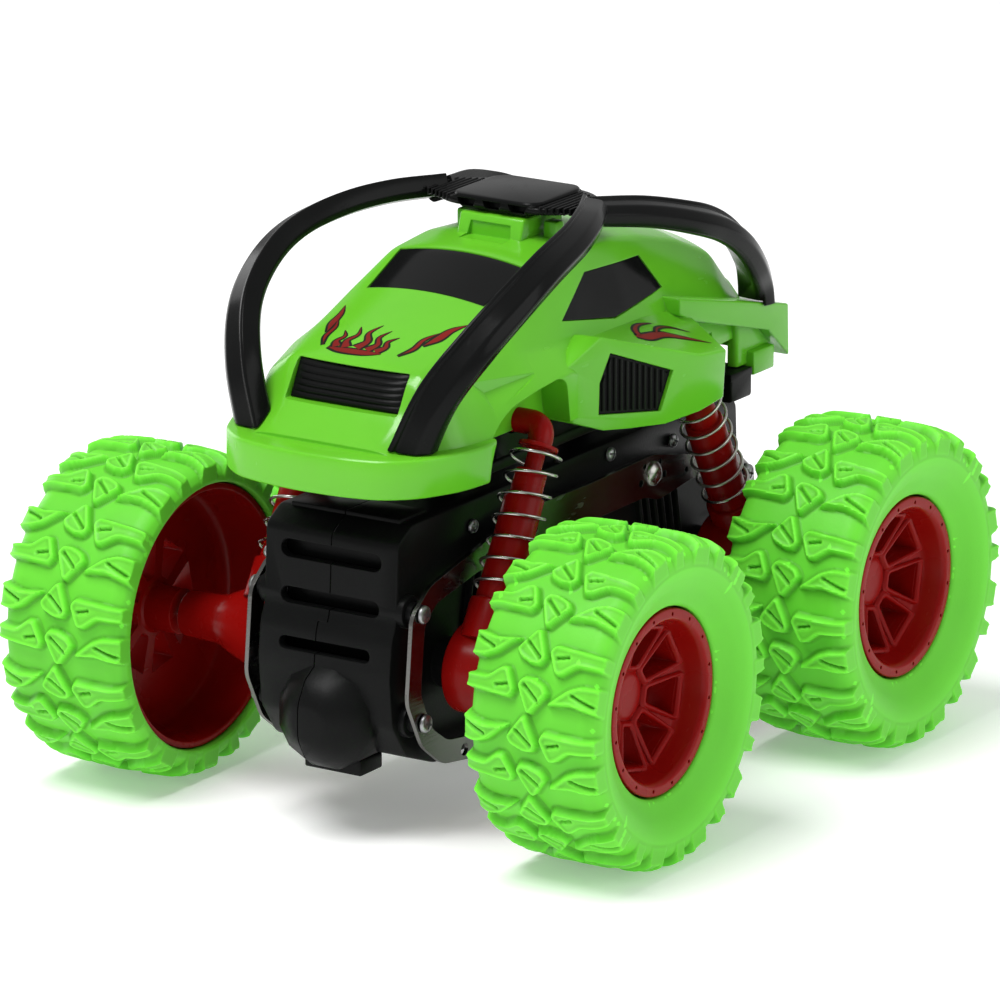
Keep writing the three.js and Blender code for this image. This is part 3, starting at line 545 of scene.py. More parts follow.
def place_rod(name, ex, sy):
    """The thin rod, its washer and the elbow that turns it into the tower's pin."""
    start, far = leg_point(0, ex, sy), leg_point(1, ex, sy)
    top = leg_point(ROD_TOP, ex, sy)
    path = rounded([leg_point(-7, ex, sy), top, top - (0, sy * 9.4, 0)], [0, 3.2, 0], 10, closed=False)
    rod = bar(f"{name}_rod_fine", -7, 15, 1.6, start, far, 32, mat=RED)
    elbow_path = [p for p in path if np.linalg.norm(p - top) < 4.3 or p[2] > top[2] - 3.7]
    elbow = tube("elbow", [leg_point(14.3, ex, sy)] + elbow_path, 2.28, None, 32)
    washer = bar("washer", 13.7, 14.5, 3.6, start, far, 40, 0.2, 2)
    combine(rod, [elbow, washer], "UNION", 35)
    show(rod, f"{name}_rod", f"{name}_shock_rod", "red_plastic")


def place_spring(name, ex, sy):
    """A coil whose end turns lie closed."""
    start, far = leg_point(0, ex, sy), leg_point(1, ex, sy)
    t = np.linspace(0, 1, 240)
    phase = 2 * math.pi * COIL_TURNS * t
    closed_end = 0.07
    along = np.interp(t, [0, closed_end, 1 - closed_end, 1], [-13.1, -12.4, 12.3, 13.0])
    side_dir = np.array([0, 1.0, 0])
    axis = far - start
    other = np.cross(axis, side_dir)
    turns = np.outer(np.cos(phase), side_dir) + np.outer(np.sin(phase), other)
    spring = tube(f"{name}_spring_fine", start + np.outer(along, axis) + COIL_R * turns, WIRE_R, WIRE, 10)
    show(spring, f"{name}_sleeve", f"{name}_shock_spring", "spring_wire")
    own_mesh(spring)


def place_shocks():
    for end, ex in ENDS:
        for side, sy in SIDES:
            name = f"{end}_{side}"
            place_sleeve(name, ex, sy)
            place_rod(name, ex, sy)
            place_spring(name, ex, sy)


place_shocks()

# ---- body shell ----
WALL = 1.6
HULL_BLEND = 1.1
# Stations from nose to tail: x, then (y, z) at the crown's middle, its edge, the belt line and the sill.
HULL = [
    (60.5, (0, 72.2), (11, 72.2), (13, 72.1), (14, 72)),
    (53.6, (0, 77.6), (12.4, 76.8), (17.5, 74.5), (20.5, 71)),
    (50, (0, 84.4), (13.6, 83.4), (18.2, 80), (22.6, 70.5)),
    (40, (0, 87.9), (14.6, 86.6), (18.8, 83.6), (23.4, 72.4)),
    (27, (0, 92.2), (16, 90.4), (19.4, 83.6), (23.4, 77)),
    (14.7, (0, 97.2), (15.4, 95.4), (19, 82.2), (23, 78)),
    (4, (0, 98.4), (15, 96.6), (18.6, 81.6), (22, 74)),
    (-12, (0, 98), (14.2, 95.8), (18, 81), (21, 72)),
    (-24, (0, 95.8), (13.2, 93.4), (17.4, 80.6), (20, 71.5)),
    (-38, (0, 92), (12.4, 89.6), (16.4, 78), (18, 71)),
    (-50, (0, 87.6), (12, 84.6), (15.6, 75.8), (17, 70)),
    (-58, (0, 79.4), (11, 77.4), (14.6, 73.4), (16, 69)),
]


def hull(name, inset=0.0, floor=69.0, mat=None):
    """The hood and cabin as one smooth body; `inset` moves its surface inwards."""
    stations = np.array([row[1:] for row in HULL], float)
    at = np.array([row[0] for row in HULL], float)
    xs = np.linspace(60.5, -58.0, 150)
    fine = np.linspace(66, -64, 1301)
    kernel = np.exp(-0.5 * (np.linspace(-4, 4, 81) / HULL_BLEND) ** 2)
    kernel /= kernel.sum()
    halves = np.empty((len(xs), 4, 2))
    for i in range(4):
        for j in range(2):
            raw = np.interp(-fine, -at, stations[:, i, j])
            soft = np.convolve(np.pad(raw, 40, mode="edge"), kernel, mode="valid")
            halves[:, i, j] = np.interp(-xs, -fine, soft)
    rings = []
    for x, (mid, top, belt, low) in zip(xs, halves):
        crown = [(top[0] * s, mid[1] + (top[1] - mid[1]) * s * s) for s in np.linspace(0, 0.86, 8)]
        flank = [crown[-1], top, belt, low, (low[0], floor)]
        half = crown + rounded(flank, [0, 1.5, 0.7, 0.5, 0], 5, closed=False)[1:]
        half = [(max(y - inset, 0.0), max(z - inset, floor)) for y, z in half]
        other = [(-y, z) for y, z in half[:0:-1]]
        rings.append([(x, y, z) for y, z in half + other])
    return loft(name, rings, mat, 24)


def pod_face(x):
    """How far out the pod's flared face lies."""
    return min(25.6 - 0.235 * x, 29.8)


POD_INNER = [(7, 82.4), (-16, 81.3), (-32, 79.6), (-31, 66), (-17.9, 65), (-9, 64.4), (2, 65.5), (6, 66),
             (14.5, 68.6), (16.6, 79)]
POD_OUTER = [(6.6, 82.8), (-17.9, 74.9), (-26.9, 73.8), (-26, 65), (-17.9, 64.3), (-9.3, 63.6), (-1, 64.4),
             (5.8, 65.3), (13.5, 68.2), (15.5, 78.5)]
POD_WINDOW = [(4.4, 79.4), (-11.1, 73.3), (-8.1, 66.3), (7.2, 68.5), (7, 74.3)]
ARCH = [(45, 58), (44.2, 67), (42.6, 70.6), (39, 73.6), (34, 75.8), (27, 77.2), (18.7, 77.8), (16.4, 76.6),
        (15, 68), (13, 58)]
SIDE_WINDOW = [(10, 85.5), (-0.6, 92), (-21.3, 90.6), (-26.9, 83.6), (-8.1, 82.1)]
WING = [(-26, 82.2), (-64.5, 73), (-64.9, 63), (-57.5, 69.4), (-32, 76.6), (-26, 79)]
BUMPER = [(66.7, 0), (66.2, 8), (64.6, 15), (60, 20.4), (52, 24.2), (44, 25.2), (38, 23.6)]


def shrink(outline, amount):
    """An outline whose points move towards its middle."""
    cx = sum(p[0] for p in outline) / len(outline)
    cz = sum(p[1] for p in outline) / len(outline)
    out = []
    for x, z in outline:
        d = math.hypot(x - cx, z - cz)
        out.append((cx + (x - cx) * (d - amount) / d, cz + (z - cz) * (d - amount) / d))
    return out


def pod(name):
    """One side pod; its outer face has two flat parts that meet where the flare ends."""
    inner = [(x, 16, z) for x, z in POD_INNER]
    outer = [(x, pod_face(x), z) for x, z in POD_OUTER]
    count = len(outer)
    faces = grid_faces(2, count, wrap_cols=True)
    faces.append(list(range(count)))
    faces.append([count + i for i in (0, 1, 4, 5, 6, 7, 8, 9)])
    faces.append([count + i for i in (1, 2, 3, 4)])
    return bevel(make(name, inner + outer, faces), 0.4, 3)


def bumper_outline(inset):
    left = [(x - inset, max(y - inset, 0)) for x, y in BUMPER]
    before = (2 * left[0][0] - left[1][0], -left[1][1])
    left = rounded([before] + left, [0, 3, 3, 3, 3, 3, 2, 0], 4, closed=False)[1:]
    left = [tuple(p) for p in left if p[1] > 0.01]
    return [(left[0][0], 0.0)] + left + [(36, 10), (36, -10)] + [(x, -y) for x, y in left[::-1]]


def place_body():
    shell = hull("body_shell_fine", mat=GREEN)
    nose = bevel(prism("nose", bumper_outline(0), 64.8, 72.0, 2), 0.7, 3)
    roof = bevel(prism("roof", [(-8, 96), (6.9, 96), (5.2, 101.55), (-7.6, 101.55)], -6.8, 6.8, 1), 0.5, 3)
    rear = rounded([(-50, -18), (-50, 18), (-62, 18), (-64.6, 12), (-64.6, -12), (-62, -18)], 1.0, 3)
    rear_bar = bevel(prism("rear_bar", rear, 63.5, 72.2, 2), 0.5, 2)
    added = [nose, roof, rear_bar]
    added += both(lambda: bevel(prism("wing", WING, 12, 20.4, 1), 0.4, 3))
    added += both(lambda: pod("pod"))
    added += both(lambda: bevel(box("tab", (-61, -53.5), (14, 19.6), (61.45, 66)), 0.5, 2))
    added += both(lambda: bevel(box("catch", (-2.4, 0.6), (7.8, 10.6), (95, 100.6)), 0.5, 2))
    combine(shell, added, "UNION", 26)
    rear_hollow = [(-48, -16), (-48, 16), (-61, 16), (-63, 11), (-63, -11), (-61, -16)]
    hollows = [
        prism("nose_hollow", bumper_outline(WALL), 59, 72 - WALL, 2),
        prism("rear_hollow", rear_hollow, 60, 70.4, 2),
        box("middle_hollow", (-48, 38), (-16.4, 16.4), (60, 73)),
    ]
    hollows += both(lambda: box("pocket", (-42, -16), (16.6, 27.6), (55, 72)))
    hollows += both(lambda: prism("arch", rounded(ARCH, 2.0, 4), 17.4, 40, 1))
    combine(shell, hollows, "DIFFERENCE", 26)
    cuts = []
    core = hull("core", 1.3, 60)
    glass_hole = prism("glass_hole", [(14.7, -13.2), (14.7, 13.2), (27, 12.4), (27, -12.4)], 88, 110, 2)
    cuts.append(combine(glass_hole, [core], "DIFFERENCE"))
    mouth = rounded([(-11.8, 77.0), (11.8, 77.0), (11.7, 83.7), (-11.7, 83.7)], 0.5, 3)
    cuts.append(prism("grille_hole", mouth, 48.4, 60, 0))
    for sign in (1, -1):
        core = hull("core", 0.9, 60)
        hole = prism("hole", SIDE_WINDOW, sign * 10, sign * 30, 1)
        cuts.append(combine(hole, [core], "DIFFERENCE"))
    cuts += both(lambda: loft("intake", [[(x, pod_face(x) - 1.1, z) for x, z in POD_WINDOW],
                                         [(x, pod_face(x) + 4, z) for x, z in POD_WINDOW]]))
    # Roof block's sunk front panel, the fender's sunk triangle and the nose's two dimples.
    cuts.append(prism("roof_panel", [(-4.6, 97.6), (4.6, 97.6), (4.2, 100.2), (-4.2, 100.2)], 5.3, 9, 0))
    cuts += both(lambda: fender_tool(shell))
    for y in (-6.5, 6.5):
        profile = [(-2, 0), (-2, 1.0), (0.25, 0.7), (0.25, 0)]
        cuts.append(lathe("dimple", profile, (58.6, y, 72.2), (58.6, y, 73), None, 16))
    combine(shell, cuts, "DIFFERENCE", 26)
    show(shell, "upper_body", "body_shell", "green_body")
    return shell


def fender_tool(shell):
    """Cuts the fender's sunk triangle, deepest towards its front corner."""
    skin = BVHTree.FromObject(shell, bpy.context.evaluated_depsgraph_get())
    corners = [(42.0, 81.6), (24.0, 79.9), (38.4, 75.6)]

    def at(point, lift):
        hit, _, _, _ = skin.ray_cast(Vector((point[0], 60, point[1])) * MM, Vector((0, -1, 0)))
        return (point[0], hit[1] / MM + lift, point[1])

    rim = [at(p, 3.0) for p in corners]
    edge = [at(p, 0.15) for p in corners]
    faces = [(0, 1, 2), (0, 3, 4, 1), (1, 4, 5, 2), (2, 5, 3, 0), (3, 6, 4), (4, 6, 5), (5, 6, 3)]
    return make("fender", rim + edge + [at((38.0, 79.0), -1.25)], faces)


def place_inserts():
    glass = hull("windshield_fine", 0.12, 60, GLOSS)
    area = prism("area", [(15.0, -12.95), (15.0, 12.95), (26.7, 12.15), (26.7, -12.15)], 88, 110, 2)
    combine(glass, [area], "INTERSECT")
    combine(glass, [hull("under", 1.15, 60)], "DIFFERENCE", 24)
    show(glass, "upper_body", "windshield", "gloss_black")
    for side, sign in SIDES:
        pane = hull(f"side_window_{side}_fine", 0.12, 60, GLOSS)
        area = prism("area", shrink(SIDE_WINDOW, 0.25), sign * 8, sign * 30, 1)
        combine(pane, [area], "INTERSECT")
        combine(pane, [hull("under", 0.8, 60)], "DIFFERENCE", 24)
        show(pane, "upper_body", f"side_window_{side}", "gloss_black")
        base = loft(f"pod_grille_{side}_fine", [
            [(x, sign * (pod_face(x) - 1.05), z) for x, z in shrink(POD_WINDOW, 0.08)],
            [(x, sign * (pod_face(x) - 0.6), z) for x, z in shrink(POD_WINDOW, 0.08)]], BLACK)
        slats = []
        for x in np.arange(-13.5, 8.5, 1.45):
            y = pod_face(x)
            slat = box("slat", (x, x + 0.65), (sign * (y - 0.9), sign * (y - 0.3)), (60, 84))
            slats.append(bevel(slat, 0.15, 2))
        fence = slats[0]
        combine(fence, slats[1:], "UNION")
        keep = loft("keep", [[(x, sign * (pod_face(x) - 3), z) for x, z in shrink(POD_WINDOW, 1.0)],
                             [(x, sign * (pod_face(x) + 2), z) for x, z in shrink(POD_WINDOW, 1.0)]])
        combine(fence, [keep], "INTERSECT")
        combine(base, [fence], "UNION")
        show(base, "upper_body", f"pod_grille_{side}", "black_plastic")
    across = np.linspace(-11.6, 11.6, 60)
    rise = np.linspace(0, 1, 121)
    front, back = [], []
    for v in rise:
        z = 77.15 + 6.4 * v
        slope = 52.4 - 3.3 * v
        rib = 0.42 * abs(math.sin(math.pi * v * 6)) ** 0.6
        bulge = 1.1 * math.sin(math.pi * min(max(v, 0.04), 0.96)) ** 0.7
        front.append([(slope - 0.2 + (rib + bulge) * (1 - abs(y / 11.6) ** 6), y, z) for y in across])
        back.append([(slope - 1.5, y, z) for y in across[::-1]])
    rings = [f + b for f, b in zip(front, back)]
    grille = loft("grille_fine", rings, BLACK, 40)
    show(grille, "upper_body", "grille", "black_plastic")


body_shell = place_body()
place_inserts()

# ---- roll cage ----
CAGE_MID = -3.0
CAGE_FRONT = [(56.8, 16.3, 71), (54.2, 20.6, 82), (47.6, 24.8, 90.6), (38.6, 26.8, 96.6), (29, 26.8, 100.4),
              (17, 24.8, 102.5), (6.8, 21.2, 103.35), (-3, 16.2, 103.3)]
CAGE_REAR = [(-59.5, 17, 71), (-56, 18.6, 79), (-50, 21, 84.4), (-43, 22.5, 89.9), (-35, 23, 94.4),
             (-26, 22.5, 97.6), (-15, 20, 100.6), (-3, 16.4, 102.6)]


def smooth_path(points, count):
    """A soft curve through points, evenly spaced."""
    p = np.asarray(points, float)
    ends = np.vstack([2 * p[0] - p[1], p, 2 * p[-1] - p[-2]])
    out = []
    for i in range(1, len(ends) - 2):
        a, b, c, d = ends[i - 1:i + 3]
        for t in np.linspace(0, 1, 20, endpoint=False):
            out.append(0.5 * (2 * b + (c - a) * t + (2 * a - 5 * b + 4 * c - d) * t * t
                              + (3 * b - a - 3 * c + d) * t ** 3))
    out.append(p[-1])
    out = np.array(out)
    length = np.concatenate([[0], np.cumsum(np.linalg.norm(np.diff(out, axis=0), axis=1))])
    even = np.linspace(0, length[-1], count)
    return np.stack([np.interp(even, length, out[:, k]) for k in range(3)], -1)


def cage_arm(points, sign):
    """One curved arm with a grooved section, which gets slimmer towards the bridge."""
    path = smooth_path(points, 90) * (1, sign, 1)
    tangents = np.gradient(path, axis=0)
    section = rounded([(-1.0, -0.55), (-0.75, -1.0), (0.75, -1.0), (1.0, -0.55), (0.93, 0.45), (0.35, 0.98),
                       (-0.62, 0.72), (-0.72, 0.95), (-0.95, 0.9)], 0.16, 3)
    rings = []
    for i, (p, t) in enumerate(zip(path, tangents)):
        t = t / np.linalg.norm(t)
        out = np.array([p[0] - CAGE_MID, p[1] * 1.2, (p[2] - 60) * 1.1])
        out = out / np.linalg.norm(out)
        out = out - t * out.dot(t)
        out /= np.linalg.norm(out)
        wide = np.cross(t, out)
        if wide[1] * sign < 0:
            wide = -wide
        s = i / (len(path) - 1)
        half, thick = 3.9 - 1.2 * s, 2.6 - 0.6 * s
        rings.append([p + wide * a * half + out * b * thick for a, b in section])
    return loft("arm", rings, None, 24)


def place_cage():
    top = rounded([(5.4, -9), (5.4, 9), (2.6, 13.6), (CAGE_MID, 16.6), (-9, 14), (-12, 9), (-12, -9),
                   (-9, -14), (CAGE_MID, -16.6), (2.6, -13.6)], 3, 4)
    cage = bevel(prism("roll_cage_fine", top, 102.6, 103.9, 2, CAGE), 0.4, 3)
    crown = rounded([(5.4, -7.6), (5.4, 7.6), (3.6, 9.4), (-9.6, 9.4), (-12, 7.6), (-12, -7.6), (-9.6, -9.4),
                     (3.6, -9.4)], 1.5, 4)
    under = loft("under", [[(front, -half, z), (front, half, z), (back, half, z), (back, -half, z)]
                           for front, back, half, z in ((5.2, -11.2, 9, 104.2), (4.6, -10.6, 6.8, 101.95))])
    added = [bevel(under, 0.4, 2), bevel(prism("crown", crown, 102.9, 104.7, 2), 0.6, 3)]
    added += [cage_arm(points, sign) for points in (CAGE_FRONT, CAGE_REAR) for sign in (1, -1)]
    for sign in (1, -1):
        for i in range(7):
            y = sign * (9.6 + i * 1.05)
            rib = box("rib", (-9.5 + i * 0.5, 4.9 - i * 0.35), (y, y + sign * 0.45), (102.9, 104.2))
            added.append(bevel(rib, 0.12, 1))
    combine(cage, added, "UNION", 26)
    cuts = [loft("vent", [[(high_x, y - 2.0, 104.0), (high_x, y + 2.0, 104.0), (low_x, y + 1.4, 102.5),
                           (low_x, y - 1.4, 102.5)] for high_x, low_x in ((3.2, 3.6), (9, 9))])
            for y in (-5.4, 0, 5.4)]
    cuts.append(hull("seat", -0.3, 60))
    cuts.append(box("ledge", (30, 80), (-40, 40), (60, 72.3)))
    cuts.append(box("rear_ledge", (-80, -40), (-40, 40), (60, 74.6)))
    wing_top = [(x, z + 0.3) for x, z in WING]
    cuts += both(lambda: prism("wing_top", wing_top, 11.7, 20.7, 1))
    combine(cage, cuts, "DIFFERENCE", 26)
    show(cage, "upper_body", "roll_cage", "black_plastic")


place_cage()

# ---- gearbox ----
CASE_FRONT = [(52.5, 57.5), (56.8, 54.9), (57.6, 40.6), (59.0, 37.6), (59.8, 31), (58.9, 22), (54.5, 15.6),
              (45, 12)]
SCREWS = [(54.6, 42.4), (54.2, 22.4)]


def case_outline(inset):
    front = [(x - inset, min(max(z, 12 + inset), 57.5 - inset)) for x, z in CASE_FRONT]
    points = front + [(-x, z) for x, z in front[::-1]]
    return rounded(points, 1.2 if not inset else 0.0, 3)


def nose_bulge(sign):
    rings = []
    for along, size in ((-2, 1.0), (4.6, 1.0), (5.6, 0.955), (8.6, 0.76), (10.7, 0.42), (11, 0.3)):
        ring = []
        for i in range(12):
            turn = 2 * math.pi * (i + 0.5) / 12
            ring.append((sign * (54 + along), 10.1 * size * math.cos(turn), 22 + 9.9 * size * math.sin(turn)))
        rings.append(ring)
    return bevel(loft("bulge", rings), 0.7, 2)


def slot_tool(sign, z, half, tall):
    """A cutter for one cooling slot with round ends."""
    outline = []
    for side in (1, -1):
        for turn in np.linspace(-math.pi / 2, math.pi / 2, 9):
            across = side * (half - tall / 2 + tall / 2 * math.cos(turn))
            outline.append((across, z + side * tall / 2 * math.sin(turn)))
    return prism("slot", outline, sign * 50, sign * 63, 0)


def case_body():
    """The whole case, hollow and slotted, before it is split into halves."""
    whole = prism("case", case_outline(0), -14, 14, 1)
    bevel(whole, 0.5, 2)
    added = [nose_bulge(1), nose_bulge(-1)]
    for x in (AXLE_X, -AXLE_X):
        added.append(bar("boss", -17.6, 17.6, 4.6, (x, 0, 30), (x, 1, 30), 40, 0.5))
    posts = [((sign * x, 0, z), (sign * x, 1, z)) for x, z in SCREWS for sign in (1, -1)]
    for at, out in posts:
        added.append(bar("post", -16.3, 16.3, 1.9, at, out))
        added.append(bar("pad", -15.2, 15.2, 3.0, at, out, 24, 0.4, 2))
    for side in (1, -1):
        for end in (1, -1):
            for i in range(6):
                x, z = end * (24.5 + i * 2.5), 31.0 - i * 0.4
                slant = [(x, z), (x + 0.8, z), (x + 0.8 - end * 3.0, 45.2), (x - end * 3.0, 45.2)]
                added.append(bevel(prism("rib", slant, side * 13.5, side * 15.2, 1), 0.2, 1))
            plate = [(end * x, z) for x, z in ((8, 18), (20, 18), (20, 27), (14, 31), (8, 31))]
            added.append(bevel(prism("pad", plate, side * 13.5, side * 14.9, 1), 0.4, 2))
    for end in (1, -1):
        added.append(bevel(box("lip", (end * 44, end * 52.5), (-11.5, 11.5), (57, 58.1)), 0.3, 2))
        added.append(bevel(box("crest", (end * 50, end * 57), (-6, 6), (11.2, 14.2)), 0.4, 2))
    combine(whole, added, "UNION", 26)
    cuts = [prism("cavity", case_outline(1.8), -12.4, 12.4, 1)]
    for sign in (1, -1):
        for z, half, tall in ((51.0, 10.6, 3.3), (42.6, 10.4, 3.0), (34.4, 9.6, 2.4)):
            cuts.append(slot_tool(sign, z, half, tall))
    for x in (AXLE_X, -AXLE_X):
        cuts.append(bar("bore", -30, 30, 1.75, (x, 0, 30), (x, 1, 30)))
    cuts += [bar("hole", -30, 30, 1.15, at, out, 16) for at, out in posts]
    return combine(whole, cuts, "DIFFERENCE", 26)


def place_case():
    """Two halves that meet at a stepped seam, and dark sheets behind the slots that are painted shade inside the
    case.
    """
    whole = case_body()
    for end, ex in ENDS:
        # Dark sheets behind the slots: painted shade inside the hollow case.
        baffle = box(f"slot_baffle_{end}", (ex * 53.0, ex * 53.8), (-12.2, 12.2), (31.5, 55.4), BLACK)
        detail(bevel(baffle, 0.2, 1), "gearbox_unit", "black_plastic")
    gap = 0.11
    seam = -1.9
    for side, sign in SIDES:
        half = add_object(f"gearbox_case_{side}_fine", whole.data.copy())
        half.data.materials.append(BLACK)
        high = box("high", (-90, 90), (sign * gap, sign * 40), (39.0, 80))
        low = box("low", (-90, 90), (seam + sign * gap, sign * 40), (-5, 39.01))
        combine(high, [low], "UNION")
        combine(half, [high], "INTERSECT", 26)
        show(half, "gearbox_unit", f"gearbox_case_{side}", "black_plastic")
    bpy.data.objects.remove(whole)


def screw(name, at, outward, depth=6.0, head=1.7):
    """A pan-head cross-slot screw whose head sits at a point and faces outward."""
    at, outward = np.asarray(at, float), np.asarray(outward, float)
    profile = [(-depth, 0), (-depth, 0.85), (0.22, 0.85), (0.22, head), (0.9, head * 0.93),
               (1.25, head * 0.5), (1.3, 0)]
    profile = rounded(profile, [0, 0, 0, 0.2, 0.35, 0.3, 0], 3, closed=False)
    body = lathe(name, profile, at, at + outward, ZINC, 32, 40)
    side = np.cross(outward, (0.94, 0.0, 0.34))
    side /= np.linalg.norm(side)
    other = np.cross(outward, side)
    quad = ((-1, -1), (1, -1), (1, 1), (-1, 1))
    slots = []
    for a, b in ((side, other), (other, side)):
        slots.append(loft("slot", [[at + outward * h + a * u + b * v * 0.2 for u, v in quad] for h in (0.6, 2.0)]))
    return combine(body, slots, "DIFFERENCE", 40)


PLATE = [(0, 53), (22, 53.4), (36, 50.2), (51.8, 46.8), (57.4, 42.4), (59, 27), (54.4, 18), (48, 13.2),
         (37, 11.6), (0, 11.6)]
PLATE_WINDOW = [(0, 46), (19, 46), (24, 44.4), (36, 45.8), (50, 43.2), (53.6, 40.2), (55, 27.6), (51.4, 20.6),
                (46.4, 17.2), (38, 16), (0, 16)]
PLATE_Y, PLATE_OUT, CASE_SIDE = 16.6, 17.4, 13.9
# Holes in the front half of a plate as (x, z, radius); the rear half has the same.
PLATE_HOLES = [(x, z, 1.15) for x, z in SCREWS] + [
    (41, 14.1, 1.15), (17.8, 48.9, 0.7), (25.8, 48.9, 0.7), (19.0, 51.8, 0.55), (24.4, 51.6, 0.55),
    (33.5, 47.9, 0.6)]


def side_plate(side, sign):
    """The steel ring plate with its window and holes."""
    low, high = sorted((sign * PLATE_Y, sign * PLATE_OUT))
    edge, window = [rounded(half + [(-x, z) for x, z in half[::-1][1:-1]], radius, 4)
                    for half, radius in ((PLATE, 1.6), (PLATE_WINDOW, 1.4))]
    # The plate's darker steel is a painted dark reflection.
    plate = prism(f"side_plate_{side}_fine", edge, low, high, 1, STEEL_PAINTED_DARK)
    cuts = [prism("window", window, low - 1, high + 1, 1)]
    for x, z, r in PLATE_HOLES:
        for ex in (1, -1):
            cuts.append(bar("hole", -1, 2, r, (ex * x, low, z), (ex * x, low + 1, z), 20))
    combine(plate, cuts)
    show(bevel(plate, 0.1, 1), "gearbox_unit", f"side_plate_{side}", "steel")


def place_plates():
    boss = rounded([(-0.3, 0), (-0.3, 2.4), (0.5, 2.3), (1.3, 1.2), (1.45, 0)], [0, 0.1, 0.5, 0.6, 0], 4,
                   closed=False)
    for side, sign in SIDES:
        side_plate(side, sign)
        face = sign * PLATE_OUT
        for end, ex in ENDS:
            x, z = ex * 21.8, 49.9
            dome = lathe(f"plate_dome_{end}_{side}", boss, (x, face, z), (x, face + sign, z), STEEL, 40)
            detail(dome, "gearbox_unit", "steel")
            for i, (x, z) in enumerate(SCREWS):
                name = f"plate_screw_{end}_{side}_{i + 1}"
                piece = screw(name + "_fine", (ex * x, face, z), (0, sign, 0))
                show(piece, "gearbox_unit", name, "zinc_screw")
            for x, z in ((33.6, 52.9), (12, 55.4)):
                at = (ex * x, sign * CASE_SIDE, z)
                small = screw(f"case_screw_{end}_{side}_{x:.0f}", at, (0, sign, 0), 2.0, 1.35)
                detail(small, "gearbox_unit", "zinc_screw")
    for i, (x, z) in enumerate(((55.2, 49.0), (56.0, 30.0))):
        lug = screw(f"case_lug_{i}", (x, -14.0, z), (0, -1, 0), 2.0, 1.2)
        detail(lug, "gearbox_unit", "zinc_screw")


place_case()
place_plates()

# ---- chassis tray ----


def place_tray():
    """A floor plate under the shell with four pin towers, two guide posts, ribs and rear corner blocks."""
    pin = leg_point(ROD_TOP, 1, 1)
    outline = rounded([(56, -13), (58, 0), (56, 13), (40, 17), (-40, 17), (-52, 12.5), (-52, -12.5),
                       (-40, -17), (40, -17)], 1.5, 3)
    tray = bevel(prism("chassis_tray_fine", outline, 62.3, 64.3, 2, BLACK), 0.35, 2)
    added, holes = [], []
    for ex in (1, -1):
        for sy in (1, -1):
            x, z = ex * pin[0], pin[2]
            outline = rounded([(x - 5.5, 63.3), (x + 5.5, 63.3), (x + 5.5, z + 1.4), (x + 3.2, z + 3.6),
                               (x - 3.2, z + 3.6), (x - 5.5, z + 1.4)], 0.6, 3)
            added.append(bevel(prism("tower", outline, sy * 12.6, sy * 16.4, 1), 0.25, 2))
            holes.append(bar("hole", 13.2, 30, 2.6, (x, 0, z), (x, sy, z), 32))
        added.append(bar("post", 50, 63.5, 3, (ex * 22, 0, 0), (ex * 22, 0, 1), 32))
        added.append(bevel(box("rib", (ex * 30 - 0.6, ex * 30 + 0.6), (-15, 15), (60.9, 63)), 0.2, 1))
    # The rear corner blocks are stepped to clear the gearbox when the body is pressed down.
    added += both(lambda: bevel(box("shelf", (-53.2, -45.5), (12, 19.5), (61.9, 63.3)), 0.2, 2))
    added += both(lambda: bevel(box("block", (-53.2, -45.5), (14.8, 19.5), (57.8, 63.0)), 0.6, 2))
    combine(tray, added, "UNION", 26)
    combine(tray, holes, "DIFFERENCE", 26)
    show(tray, "upper_body", "chassis_tray", "black_plastic")


place_tray()

# ---- printed flames: thin films on the shell ----
skin = BVHTree.FromObject(body_shell, bpy.context.evaluated_depsgraph_get())
FILM_GRID, RIBBON_STEPS = 0.6, 22


def film(name, outline, lift, mat):
    """A printed shape, drawn as seen from above and laid on the shell."""
    dense = []
    for i, p in enumerate(outline):
        q = outline[(i + 1) % len(outline)]
        count = max(1, int(math.dist(p, q) / 0.4))
        dense += [(p[0] + (q[0] - p[0]) * t / count, p[1] + (q[1] - p[1]) * t / count) for t in range(count)]
    border = np.array(dense)
    low, high = border.min(0), border.max(0)
    gx, gy = np.meshgrid(np.arange(low[0], high[0], FILM_GRID), np.arange(low[1], high[1], FILM_GRID))
    keep = inside_distance(gx, gy, outline) > 0.25
    inner = np.stack([gx[keep], gy[keep]], -1)
    count = len(border)
    points = [Vector(p) for p in np.vstack([border, inner])]
    edges = [(i, (i + 1) % count) for i in range(count)]
    verts, _, faces, *_ = delaunay_2d_cdt(points, edges, [list(range(count))], 1, 1e-5)
    placed = []
    for x, y in verts:
        hit, normal, _, _ = skin.ray_cast(Vector((x, y, 130)) * MM, Vector((0, 0, -1)))
        placed.append(hit / MM + normal * (lift if normal.z > 0 else -lift))
    mesh = bpy.data.meshes.new(name)
    mesh.from_pydata([tuple(p * MM) for p in placed], [], [tuple(f) for f in faces])
    mesh.materials.append(mat)
    mesh.shade_smooth()
    detail(add_object(name, mesh), "upper_body", "black_plastic" if mat is INK_DARK else "red_plastic")


def ribbon(points, grow):
    """The outline of a curling lick; each point is (x, y, width)."""
    path = smooth_path(points, RIBBON_STEPS)
    way = np.gradient(path[:, :2], axis=0)
    side = np.stack([-way[:, 1], way[:, 0]], -1) / np.linalg.norm(way, axis=1)[:, None]
    half = np.maximum(path[:, 2:] / 2 + grow * np.linspace(1, 0.05, RIBBON_STEPS)[:, None] ** 0.5, 0.02)
    left, right = path[:, :2] + side * half, path[:, :2] - side * half
    return [tuple(p) for p in np.vstack([left, right[::-1]])]


def flame(name, licks):
    """Curling licks seen from above: red bodies over a dark edging."""
    for i, points in enumerate(licks):
        film(f"{name}_edge_{i}", ribbon(points, 0.4), 0.03, INK_DARK)
        film(f"{name}_body_{i}", ribbon(points, -0.12), 0.055, INK_RED)


